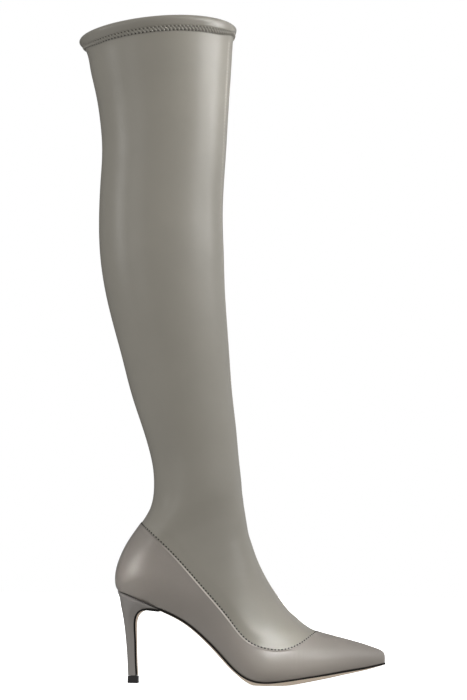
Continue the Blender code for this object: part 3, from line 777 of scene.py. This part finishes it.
def edge_profile(share):
    """The upper's folded edge at places of that thickness: distance past the cut, and depth at each place."""
    middle = EDGE_STRIP - EDGE_ROUND
    rows = [(middle / 2, -EDGE_RAMP * EDGE_RAISE * share)]
    for angle in np.linspace(0, math.pi, EDGE_POINTS):
        lift = EDGE_RAISE * (1 + math.cos(angle)) / 2
        depth = EDGE_ROUND * (1 - math.cos(angle)) - lift
        rows.append((middle + EDGE_ROUND * math.sin(angle), depth * share))
    return rows


Topline = namedtuple("Topline", "points normals uphill")

# Puckers that the stitching pulls into the vamp below the throat, and the pinch at the seam's back end
PUCKER_FROM_X = 144.0
PUCKER_TO_X = 172.0
PUCKER_PITCH = 4.2
PUCKER_HEIGHT = 0.06
PUCKER_LENGTH = 24.0
PUCKER_ENDS = 8.0
PUCKER_STARTS = 3.0
PINCH_X = 7.0
PINCH_BELOW = 4.0
PINCH_REACH = 4.0
PINCH_HEIGHT = 0.25


def soft_creases(points, above):
    """How far the upper's face stands out in its soft creases."""
    x = points[:, 0]
    inside = window(x, PUCKER_FROM_X, PUCKER_TO_X, PUCKER_ENDS, PUCKER_ENDS)
    fade = window(above, -PUCKER_LENGTH, 0, PUCKER_LENGTH, PUCKER_STARTS)
    wave = np.cos(2 * math.pi * x / PUCKER_PITCH)
    pinch = np.exp(-((x - PINCH_X) ** 2 + (above + PINCH_BELOW) ** 2) / PINCH_REACH**2)
    return PUCKER_HEIGHT * inside * fade * wave + PINCH_HEIGHT * pinch


def inner_faces(skin, rim):
    """Faces of the inner side, whose points follow the outer ones, and of the rim along those open edges."""
    count = len(skin.points)
    inside = [[k + count for k in reversed(face)] for face in skin.faces]
    return inside + [[b, a, a + count, b + count] for a, b in rim]


def make_upper(form):
    """The pump-shaped foot with its rounded topline edge. Gives the topline back for the stitches."""
    near = snap_to_level(form, -EDGE_STRIP)
    skin = clip_surface(near, -EDGE_STRIP - above_topline(near.points))
    edges = open_edges(skin.faces)
    top = chain([(a, b) for a, b in edges if skin.on_line[a] and skin.on_line[b]])
    sole = [(a, b) for a, b in edges if not (skin.on_line[a] and skin.on_line[b])]
    count = len(skin.points)
    above = above_topline(skin.points)
    outer = skin.points + soft_creases(skin.points, above)[:, None] * skin.normals
    inner = skin.points - upper_wall(skin.points, above)[:, None] * skin.normals
    points = [outer, inner]
    direction, _ = uphill(skin.points[top], skin.normals[top])
    rolled = []
    row, size = top, 2 * count
    for along, depth in edge_profile(edge_share(skin.points[top])):
        points.append(outer[top] + along * direction - depth[:, None] * skin.normals[top])
        following = list(range(size, size + len(top)))
        rolled += strip_faces(row, following)
        row, size = following, size + len(top)
    inside = inner_faces(skin, sole) + strip_faces(row, [k + count for k in top])
    # The rolled edge's faces take the leather with the painted highlight
    kinds = [0] * len(skin.faces) + [1] * len(rolled) + [2] * len(inside)
    piece = add_piece("upper_skin", np.vstack(points), skin.faces + rolled + inside,
                      [UPPER_LEATHER, ROLLED_EDGE_HIGHLIGHT_LEATHER, LINING], kinds, sharp=SKIN_EDGE)
    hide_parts("upper")
    return Topline(skin.points[top] + EDGE_STRIP * direction, skin.normals[top], direction)


def make_shaft(form):
    """The stretch shaft: leather outside and knitted lining inside, tucked under the upper's edge."""
    near = snap_to_level(form, -LAP)
    skin = clip_surface(near, above_topline(near.points) + LAP)
    outer = skin.points - shaft_drop(skin.points, above_topline(skin.points))[:, None] * skin.normals
    inner = outer - SHAFT_WALL * skin.normals
    inside = inner_faces(skin, open_edges(skin.faces))
    kinds = [0] * len(skin.faces) + [1] * len(inside)
    piece = add_piece("shaft_skin", np.vstack([outer, inner]), skin.faces + inside,
                      [SHAFT_LEATHER, LINING], kinds, sharp=SKIN_EDGE)
    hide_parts("shaft")


# Stitches

Stitch = namedtuple("Stitch", "length width height")
STITCH_SIDES = 8
STITCH_RINGS = 7
STITCH_TAPER = 0.92
STITCH_SLOPE_SHARE = 0.25


def stitch_points(middle, along, up, size):
    """Points of one stitch: a rounded bar of thread whose ends dive into the leather."""
    across = np.cross(along, up)
    turn = np.linspace(0, 2 * math.pi, STITCH_SIDES, endpoint=False)
    rows = []
    for share in np.linspace(-1, 1, STITCH_RINGS):
        swell = math.sqrt(1 - STITCH_TAPER * share**2)
        centre = middle + along * share * size.length / 2 - up * size.height * share**2
        ring = np.outer(np.cos(turn), across) * size.width / 2 + np.outer(np.sin(turn), up) * size.height
        rows.append(centre + ring * swell)
    return np.vstack(rows)


def make_stitches(name, places, size, material):
    """One piece of many stitches of one size. Each place is (middle, along, up)."""
    faces, points = [], []
    one = loft_faces(STITCH_RINGS, STITCH_SIDES)
    for k, place in enumerate(places):
        start = k * STITCH_RINGS * STITCH_SIDES
        points.append(stitch_points(*place, size))
        faces += [[i + start for i in face] for face in one]
    return add_piece(name, np.vstack(points), faces, [material])


def even_places(points, normals, pitch, closed=True):
    """Places at an even pitch along a row of points: (middle, direction along it, normal) of each."""
    if closed:
        points, normals = np.vstack([points, points[:1]]), np.vstack([normals, normals[:1]])
    along = chord_lengths(points)
    count = int(round(along[-1] / pitch))
    at = (np.arange(count) + 0.5) * along[-1] / count
    step = STITCH_SLOPE_SHARE * pitch
    after = read_along(np.minimum(at + step, along[-1]), along, points)
    before = read_along(np.maximum(at - step, 0), along, points)
    ahead = unit(after - before)
    up = read_along(at, along, normals)
    up = unit(up - (up * ahead).sum(1)[:, None] * ahead)
    return list(zip(read_along(at, along, points), ahead, up))


SEAM_PITCH = 3.2
SEAM_STITCH = Stitch(2.3, 1.4, 0.45)
SEAM_STITCH_OFF = 0.8
SEAM_STITCH_SINK = 0.05


def make_foot_seam(topline):
    """The row of stitches in the ditch beside the upper's edge."""
    row = topline.points + SEAM_STITCH_OFF * topline.uphill
    depth = shaft_drop(row, np.full(len(row), SEAM_STITCH_OFF)) - SEAM_STITCH_SINK
    row = row - depth[:, None] * topline.normals
    places = even_places(row, topline.normals, SEAM_PITCH)
    # The near-black stitches paint the shade in the stitch holes as well
    make_stitches("foot_seam_stitches", places, SEAM_STITCH, DARK_THREAD_AND_SHADE)


# The collar's band

BAND_COLUMNS = 520
BAND_ROWS = 9
BAND_PITCH = 3.5
BAND_LOW_ROW = 0.9
BAND_HIGH_ROW = 4.3
BAND_PUCKER = 0.55
BAND_SLANT = 0.7
BAND_PUCKER_FROM = -0.35
BAND_PUCKER_TO = 1.5
BAND_PUCKER_STARTS = 0.5
BAND_PUCKER_ENDS = 0.6
# The low row's big near-black stitches also paint the shade under the band's lower edge
BAND_STITCH_LOW = Stitch(2.6, 1.3, 0.40)
BAND_STITCH_HIGH = Stitch(1.4, 0.8, 0.30)
BAND_STITCH_SINK = 0.25
BAND_STITCH_SHIFT = 0.5
BAND_STITCH_REACH = 2
BAND_END_LIFT = 5.0
BAND_END_SHARE = 0.65
BAND_OUTSIDE = named_rows("up out", [
    (0.0, 0.15), (0.35, 0.62), (0.9, 0.62), (1.6, 1.05), (2.5, 1.25), (3.5, 1.10), (4.3, 0.86), (5.4, 1.40),
    (7.6, 2.00), (10.2, 2.25), (12.4, 1.95), (13.8, 1.05), (14.6, -0.35), (14.2, -1.75), (12.8, -2.70),
    (9.0, -3.05), (4.0, -3.00), (0.8, -2.70),
])
BAND_RISING = 12
BAND_INSIDE = named_rows("up out", [(0.6, -1.75), (12.0, -1.75), (12.0, 0.25), (0.2, 0.12)])
BAND_STEPS = 4


def band_grid():
    """Rows of the form's own points across the band, and its outward directions."""
    reach = station_of(COLLAR_SEAM_ROW) + np.linspace(0, BAND_HEIGHT, BAND_ROWS)
    loops = loops_at(reach, BAND_COLUMNS)[:, :-1]
    around = np.roll(loops, -1, axis=1) - np.roll(loops, 1, axis=1)
    outward = unit(np.cross(around, np.gradient(loops, axis=0)))
    return loops, outward


def band_ring(loops, outward, up, out):
    """One row round the band, that far up from the seam and out from the form. Out may vary round it.

    The band is deepest on the two sides: at the front and the back its lower edge lies higher.
    """
    y = loops[0, :, 1]
    end = 1 - smooth(np.abs(y) / (BAND_END_SHARE * np.abs(y).max()))
    place = (up + BAND_END_LIFT * end * (1 - up / BAND_HEIGHT)) / BAND_HEIGHT * (BAND_ROWS - 1)
    low = np.clip(place.astype(int), 0, BAND_ROWS - 2)
    share = (place - low)[:, None]
    column = np.arange(len(y))
    middle = loops[low, column] * (1 - share) + loops[low + 1, column] * share
    normal = unit(outward[low, column] * (1 - share) + outward[low + 1, column] * share)
    return middle + np.broadcast_to(out, len(y))[:, None] * normal, normal


def make_band():
    """The folded band round the collar, puckered between its two rows of stitches."""
    loops, outward = band_grid()
    count = loops.shape[1]
    seam = chord_lengths(np.vstack([loops[0], loops[0][:1]]))
    stitches = int(round(seam[-1] / BAND_PITCH))
    phase = seam[:-1] / seam[-1] * stitches
    outline = np.array(BAND_OUTSIDE)
    rings = []
    for up, out in finer(outline, BAND_STEPS):
        share = (up - BAND_LOW_ROW) / (BAND_HIGH_ROW - BAND_LOW_ROW)
        inside = window(share, BAND_PUCKER_FROM, BAND_PUCKER_TO, BAND_PUCKER_STARTS, BAND_PUCKER_ENDS)
        pucker = BAND_PUCKER * inside * np.cos(2 * math.pi * (phase + BAND_SLANT * share))
        rings.append(band_ring(loops, outward, up, out + pucker * (out > 0))[0])
    for up, out in BAND_INSIDE:
        rings.append(band_ring(loops, outward, up, out)[0])
    faces = grid_faces(len(rings), count, around=True)
    piece = add_piece("collar_band", np.vstack(rings), faces, [BAND_LEATHER_AND_SHADE], sharp=SOFT_EDGE)
    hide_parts("top_binding")
    for name, up, size, shift in (
            ("band_stitches_low", BAND_LOW_ROW, BAND_STITCH_LOW, BAND_STITCH_SHIFT),
            ("band_stitches_high", BAND_HIGH_ROW, BAND_STITCH_HIGH, BAND_STITCH_SHIFT - BAND_SLANT)):
        out = np.interp(up, *outline[:BAND_RISING].T) - BAND_STITCH_SINK
        row, normal = band_ring(loops, outward, up, out)
        at = ((np.arange(stitches) + shift) % stitches) / stitches * count
        places = []
        for k in at.astype(int) % count:
            ahead = unit(row[(k + BAND_STITCH_REACH) % count] - row[k - BAND_STITCH_REACH])
            places.append((row[k], ahead, normal[k]))
        make_stitches(name, places, size, DARK_THREAD_AND_SHADE)


# The front seam of the shaft

SEAM_DRIFT_HEIGHT = (60.0, 150.0, 260.0, 400.0, 520.0, 600.0)
SEAM_DRIFT = (0.0, 0.5, 2.5, 7.5, 13.0, 16.0)
SEAM_STARTS_AT = "ball_inner"
SEAM_TOP_GAP = 1.0
SEAM_LOW_GAP = 0.5
SEAM_STEP = 1.5
SEAM_PROFILE = named_rows("across height", [
    (-2.7, -0.25), (-2.0, 0.02), (-1.2, 0.24), (-0.5, 0.26), (-0.15, 0.05), (0.0, -0.12),
    (0.15, 0.05), (0.5, 0.26), (1.2, 0.24), (2.0, 0.02), (2.7, -0.25),
])
FRONT_PITCH = 3.0
FRONT_STITCH = Stitch(2.2, 0.55, 0.16)
FRONT_STITCH_OFF = 1.25
FRONT_STITCH_RISE = 0.16


def on_front(stations, offset):
    """Points and normals on the form, that far round from the front line to the outer side, in mm."""
    loops = loops_at(stations)
    normals = unit(np.cross(np.gradient(loops, axis=1), np.gradient(loops, axis=0)))
    points, facing = [], []
    for loop, normal, move in zip(loops, normals, np.broadcast_to(offset, len(stations))):
        pitch = np.linalg.norm(loop[HALF_COLUMNS] - loop[HALF_COLUMNS - 1])
        at, columns = HALF_COLUMNS - move / pitch, np.arange(len(loop))
        points.append(read_along(at, columns, loop))
        facing.append(read_along(at, columns, normal))
    return np.array(points), unit(np.array(facing))


def make_front_seam():
    """The raised seam up the front of the shaft, with a row of stitches on each side."""
    top = station_of(COLLAR_SEAM_ROW) - SEAM_TOP_GAP
    stations = np.arange(station_of(SEAM_STARTS_AT), top, SEAM_STEP)
    middle, _ = on_front(stations, 0.0)
    clear = above_topline(middle) > SEAM_LOW_GAP
    stations = stations[clear]
    drift = spline(middle[clear, 2], SEAM_DRIFT_HEIGHT, SEAM_DRIFT)

    def row_at(across, height):
        points, normals = on_front(stations, drift + across)
        drop = shaft_drop(points, above_topline(points))
        return points + (height - drop)[:, None] * normals, normals

    rows = [row_at(*place)[0] for place in SEAM_PROFILE]
    faces = grid_faces(len(rows), len(stations), closed=False)
    piece = add_piece("front_seam", np.vstack(rows), faces, [SEAM_LEATHER])
    places = []
    for across in (-FRONT_STITCH_OFF, FRONT_STITCH_OFF):
        places += even_places(*row_at(across, FRONT_STITCH_RISE), FRONT_PITCH, closed=False)
    make_stitches("front_seam_stitches", places, FRONT_STITCH, TAUPE_THREAD)


# Sole, insole, heel and tip

SOLE_ACROSS = 25
SIDE_POINTS = 5
SIDE_BULGE = 0.18
SOLE_TOP_POINTS = 3
SOLE_PAINT_BAND = 0.4
FLAP_PAINT_BAND = 1.3
PAINT_SHARE = 0.3
INSOLE_POINTS = 25
INSOLE_ROUND = 0.3


def path_normals(path):
    """Unit normals of a path in x and z that runs from toe to heel, on its upper side."""
    ahead = unit(np.gradient(path, axis=0))
    return np.column_stack([ahead[:, 1], -ahead[:, 0]])


def sole_line(stations):
    """The line under the foot: its points in x and z, the upward normals, and the y of the two sole edges."""
    s = sections_at(stations)
    path = np.column_stack([s.sole_x, s.sole_z])
    return path, path_normals(path), s.swing - s.sole_out, s.swing + s.sole_in


def sole_loop(place, normal, y_out, y_in, edge, crown, paint):
    """One closed loop across the sole: level top, slightly rounded sides and a crowned bottom."""
    middle, half = (y_out + y_in) / 2, (y_in - y_out) / 2
    paint = min(paint, PAINT_SHARE * half)
    shares = np.concatenate([[-1], np.linspace(-1 + paint / half, 1 - paint / half, SOLE_ACROSS), [1]])
    side = np.linspace(0, 1, SIDE_POINTS + 2)[1:-1]
    bulge = SIDE_BULGE * np.sin(side * math.pi)
    bottom = edge + crown * (1 - shares[::-1] ** CROWN_POWER)
    depth = np.concatenate([np.zeros(SOLE_TOP_POINTS), edge * side, bottom, edge * side[::-1]])
    y = np.concatenate([
        [y_out, middle, y_in], y_in + bulge, middle + shares[::-1] * half, y_out - bulge[::-1]])
    points = place - depth[:, None] * normal
    return np.column_stack([points[:, 0], y, np.maximum(points[:, 1], 0.0)])


def flap_rows():
    """The flap's sections from the seat down to the tip: x, z, half width and thickness."""
    return finer(np.array([s[1:] for s in FLAP]), HEEL_STEPS)


def by_row(table, stations):
    """Values given for some of the form's rows, read at other stations."""
    return np.interp(stations, [station_of(name) for name in table], list(table.values()))


def make_outsole():
    """The thin outsole and its flap down the breast: tan leather with a black painted edge."""
    stations = fine_stations(0, station_of(SOLE_ENDS_AT))
    foot, _, y_out, y_in = sole_line(stations)
    toe = stations < station_of(SOLE_LEVEL_FROM)
    first = int(np.count_nonzero(toe))
    slope = (foot[first, 1] - foot[first + 1, 1]) / (foot[first, 0] - foot[first + 1, 0])
    foot[toe, 0] += SOLE_TOE_REACH * (1 - stations[toe] / stations[first])
    foot[toe, 1] = foot[first, 1] + slope * (foot[toe, 0] - foot[first, 0])
    crown = by_row(SOLE_CROWN, stations)
    flap = flap_rows()
    path = np.vstack([foot - SOLE_GAP * path_normals(foot), flap[:, :2]])
    margin = by_row(SOLE_MARGINS, stations)
    y_out = np.concatenate([y_out - margin, -flap[:, 2]])
    y_in = np.concatenate([y_in + margin, flap[:, 2]])
    edge = np.concatenate([by_row(SOLE_EDGE, stations), flap[:, 3]])
    crown = np.concatenate([crown, np.zeros(len(flap))])
    paint = np.concatenate([np.full(len(foot), SOLE_PAINT_BAND), np.full(len(flap), FLAP_PAINT_BAND)])
    loops = [sole_loop(*row) for row in zip(path, path_normals(path), y_out, y_in, edge, crown, paint)]
    count = len(loops[0])
    faces = loft_faces(len(loops), count)
    painted = SOLE_TOP_POINTS + SIDE_POINTS
    bottom = range(painted + 1, painted + SOLE_ACROSS)
    kinds = [0 if k % count in bottom else 1 for k in range(len(faces) - 2)] + [1, 1]
    # The tan bottom carries painted light of the floor's bounce
    piece = add_piece("sole", np.vstack(loops), faces, [TAN_AND_BOUNCE, BLACK_EDGE], kinds, sharp=HARD_EDGE)
    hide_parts("outsole")


def make_insole():
    """The insole board under its sock, with a rounded edge."""
    stations = fine_stations(station_of(INSOLE_STARTS_AT), station_of(SEAT_BACK_ROW) - INSOLE_BACK_INSET)
    path, normals, y_out, y_in = sole_line(stations)
    turn = np.linspace(0, math.pi, INSOLE_POINTS)
    share = np.sign(np.cos(turn)) * np.abs(np.cos(turn)) ** INSOLE_ROUND
    rise = INSOLE_THICKNESS * np.abs(np.sin(turn)) ** INSOLE_ROUND
    loops = []
    for place, normal, a, b in zip(path, normals, y_out + INSOLE_INSET, y_in - INSOLE_INSET):
        top = place + rise[:, None] * normal
        loops.append(np.column_stack([top[:, 0], (a + b) / 2 + (b - a) / 2 * share, top[:, 1]]))
    faces = loft_faces(len(loops), INSOLE_POINTS)
    piece = add_piece("sock", np.vstack(loops), faces, [SOCK], sharp=SOFT_EDGE)
    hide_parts("insole")


def d_loop(back, front, half_width, front_half, round_share, inset=0.0):
    """A D-shaped loop: round at the back, then straight sides to a flat front. Ends are (x, z) pairs."""
    turn = np.linspace(0, math.pi / 2, HEEL_SIDE_POINTS)
    flat = np.linspace(0, 1, HEEL_FLAT_POINTS)[1:]
    share = np.concatenate([round_share * (1 - np.cos(turn)), round_share + flat * (1 - round_share)])
    half = np.concatenate([half_width * np.sin(turn), half_width + flat * (front_half - half_width)])
    length = math.hypot(front[0] - back[0], front[1] - back[1])
    share = (inset + share * (length - inset)) / length
    x = back[0] + share * (front[0] - back[0])
    z = back[1] + share * (front[1] - back[1])
    half = half * (half_width - inset) / half_width
    outer = np.column_stack([x, -half, z])
    inner = np.column_stack([x, half, z])[:0:-1]
    return np.vstack([outer, inner])


HEEL_TOP_EDGE = named_rows("drop inset", [(0.25, 0.0), (0.08, 0.08), (0.0, 0.25)])
SEAT_LINE_INSET = 0.6
SEAT_LINE_RISES = (-0.2, 0.6)
SEAT_LINE_FRONT = (26.0, 69.0)


def make_heel():
    """The covered stiletto heel with a softened top edge, and a dark strip of painted shade in the gap where
    it meets the upper.
    """
    rows = finer(np.array([s[1:] for s in HEEL]), HEEL_STEPS)
    flap = flap_rows()
    fronts = (flap[:, :2] + SOLE_GAP * path_normals(flap[:, :2]))[::-1]
    widths = list(zip(rows[:, 2], flap[::-1, 2]))
    loops = [d_loop(r[:2], f, *w, HEEL_ROUND) for r, f, w in zip(rows[:-1], fronts, widths)]
    seat, breast, width = rows[-1, :2], fronts[-1], widths[-1]
    up = path_normals(np.array([breast, seat]))[0]
    for drop, inset in HEEL_TOP_EDGE:
        loops.append(d_loop(seat - drop * up, breast - drop * up, *width, HEEL_ROUND, inset))
    piece = add_loft("heel_cover", loops, HEEL_LEATHER)
    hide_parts("heel")
    # A dark strip of painted shade in the gap where the heel meets the upper
    line = []
    for rise in SEAT_LINE_RISES:
        front = SEAT_LINE_FRONT + rise * up
        line.append(d_loop(seat + rise * up, front, *width, HEEL_ROUND, SEAT_LINE_INSET))
    add_loft("seat_line", line, SEAT_GAP_SHADE)


TIP_ROWS = named_rows("z inset", [
    (0.0, 0.5), (0.12, 0.2), (0.45, 0.0),
    (TIP_HEIGHT - 0.5, 0.1), (TIP_HEIGHT - 0.15, 0.25), (TIP_HEIGHT, 0.5),
])


def make_heel_tip():
    """The black top piece under the heel, with softened edges."""
    loops = []
    for z, inset in TIP_ROWS:
        half = TIP_HALF_WIDTH - inset
        loops.append(d_loop((TIP_BACK_X + inset, z), (TIP_FRONT_X - inset, z), half, half, TIP_ROUND))
    piece = add_loft("tip_block", loops, RUBBER)
    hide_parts("heel_tip")


FORM_SURFACE = boot_surface()
TOPLINE = make_upper(FORM_SURFACE)
make_shaft(FORM_SURFACE)
make_foot_seam(TOPLINE)
make_band()
make_front_seam()
make_outsole()
make_insole()
make_heel()
make_heel_tip()


# Camera, floor and lights

PHOTO_HEIGHT = 700
PIXELS_PER_MM = 1.08
SENSOR = 36.0
CAMERA_FAR = 2.8
CAMERA_HEIGHT = 0.10
CAMERA_YAW = 4.0
CAMERA_ROLL = 0.7
AIM_X = 89.35
AIM_Z = 308.0
FLOOR_HALF = 12.0


def add_camera():
    """The photograph's view: a long lens on the outer side, low and a little towards the toe."""
    data = bpy.data.cameras.new("camera")
    camera = add_object("camera", data)
    yaw = math.radians(CAMERA_YAW)
    aim = Vector(((AIM_X + BOOT_X) * MM, 0.0, AIM_Z * MM))
    place = aim + Vector((math.sin(yaw) * CAMERA_FAR, -math.cos(yaw) * CAMERA_FAR, 0))
    place.z = CAMERA_HEIGHT
    look = aim - place
    data.sensor_fit = "AUTO"
    data.sensor_width = SENSOR
    data.lens = SENSOR * look.length / (PHOTO_HEIGHT / PIXELS_PER_MM * MM)
    turned = look.to_track_quat("-Z", "Y").to_matrix() @ Matrix.Rotation(math.radians(CAMERA_ROLL), 3, "Z")
    camera.matrix_world = Matrix.Translation(place) @ turned.to_4x4()
    bpy.context.scene.camera = camera


def add_floor():
    """A white seamless floor."""
    mesh = bpy.data.meshes.new("floor")
    corners = [(-1, -1), (1, -1), (1, 1), (-1, 1)]
    mesh.from_pydata([(x * FLOOR_HALF, y * FLOOR_HALF, 0) for x, y in corners], [], [[0, 1, 2, 3]])
    material, _ = principled("white_floor", {
        "Base Color": (0.9, 0.9, 0.9, 1), "Roughness": 0.9, "Specular IOR Level": 0.0,
        "Emission Color": (1, 1, 1, 1), "Emission Strength": 0.95})
    mesh.materials.append(material)
    floor = add_object("floor", mesh)
    floor.visible_diffuse = False
    floor.visible_glossy = False


SOFTBOXES = named_rows("name place aim width height spread watts", [
    ("key_top_front", (0.75, -0.28, 0.72), (-0.015, -0.035, 0.57), 0.40, 0.30, 35, 0.096),
    ("key_top_back", (0.82, 0.06, 0.70), (-0.015, -0.035, 0.57), 0.40, 0.30, 35, 0.086),
    ("key", (0.78, -0.14, 0.86), (-0.03, -0.02, 0.52), 0.60, 0.42, 180, 0.42),
    ("front_high", (1.35, -1.12, 1.74), (0.05, -0.03, 0.05), 0.80, 0.50, 180, 1.54),
    ("front_low", (1.67, -1.39, 1.17), (0.05, -0.03, 0.05), 0.80, 0.50, 180, 2.21),
    ("vamp_low", (0.30, -0.946, 0.578), (0.058, -0.033, 0.028), 0.08, 0.08, 8, 0.006),
    ("vamp_mid", (0.564, -0.803, 0.633), (0.058, -0.033, 0.028), 0.08, 0.08, 8, 0.002),
    ("vamp_high", (0.388, -0.759, 0.787), (0.058, -0.033, 0.028), 0.08, 0.08, 8, 0.008),
    ("vamp_side", (0.553, -0.649, 0.787), (0.058, -0.033, 0.028), 0.08, 0.08, 8, 0.004),
    ("counter", (-0.93, -0.57, 0.15), (-0.086, -0.028, 0.104), 0.04, 0.04, 3, 0.0022),
    ("band_low", (0.80, 0.03, 0.44), (-0.014, -0.038, 0.608), 0.30, 0.20, 8, 0.050),
    ("side_mid", (-0.95, -0.30, 0.55), (-0.05, -0.02, 0.45), 0.30, 0.40, 35, 0.035),
    ("side_front", (-1.40, -1.60, 0.60), (-0.05, -0.02, 0.30), 0.80, 0.80, 180, 1.41),
])

# Soft bright parts of the room: azimuth from the camera's side towards the toe, height, and brightness
GLOWS = named_rows("azimuth height level", [
    (0, 0, 0.29), (45, 0, 0.64), (90, 0, 0.33), (135, 0, 0.60), (240, 0, 0.12), (315, 0, 0.47),
    (0, 50, 0.29), (90, 50, 0.94), (270, 50, 0.69), (90, -50, 0.27), (270, -50, 0.75),
])
GLOW_POWER = 3.0


def add_softboxes():
    for box in SOFTBOXES:
        data = bpy.data.lights.new(box.name, "AREA")
        data.shape = "RECTANGLE"
        data.size, data.size_y = box.width, box.height
        data.energy = box.watts
        data.spread = math.radians(box.spread)
        light = add_object(box.name, data)
        place = Vector(box.place)
        light.location = place
        light.rotation_euler = (Vector(box.aim) - place).to_track_quat("-Z", "Y").to_euler()
        light.visible_camera = False


def add_room():
    """A soft room of a few broad glows, that the camera itself sees as plain white."""
    world = bpy.data.worlds.new("studio")
    world.use_nodes = True
    tree = world.node_tree
    tree.nodes.clear()
    toward = node(tree, "TexCoord").outputs["Generated"]
    total = 0.0
    for glow in GLOWS:
        turn, rise = math.radians(glow.azimuth), math.radians(glow.height)
        axis = (math.sin(turn) * math.cos(rise), -math.cos(turn) * math.cos(rise), math.sin(rise))
        near = node(tree, "VectorMath", {0: toward, 1: axis}, operation="DOT_PRODUCT").outputs["Value"]
        near = calculate(tree, "POWER", calculate(tree, "MAXIMUM", near, 0.0), GLOW_POWER)
        total = calculate(tree, "MULTIPLY_ADD", near, glow.level, total)
    seen = node(tree, "Background", {"Color": (1, 1, 1, 1), "Strength": 1.0})
    room = node(tree, "Background", {"Color": (1, 1, 1, 1), "Strength": total})
    path = node(tree, "LightPath")
    mix = node(tree, "MixShader", {
        0: path.outputs["Is Camera Ray"], 1: room.outputs["Background"], 2: seen.outputs["Background"]})
    node(tree, "OutputWorld", {"Surface": mix.outputs["Shader"]})
    bpy.context.scene.world = world


add_camera()
add_floor()
add_softboxes()
add_room()
bpy.context.scene.view_settings.view_transform = "Standard"
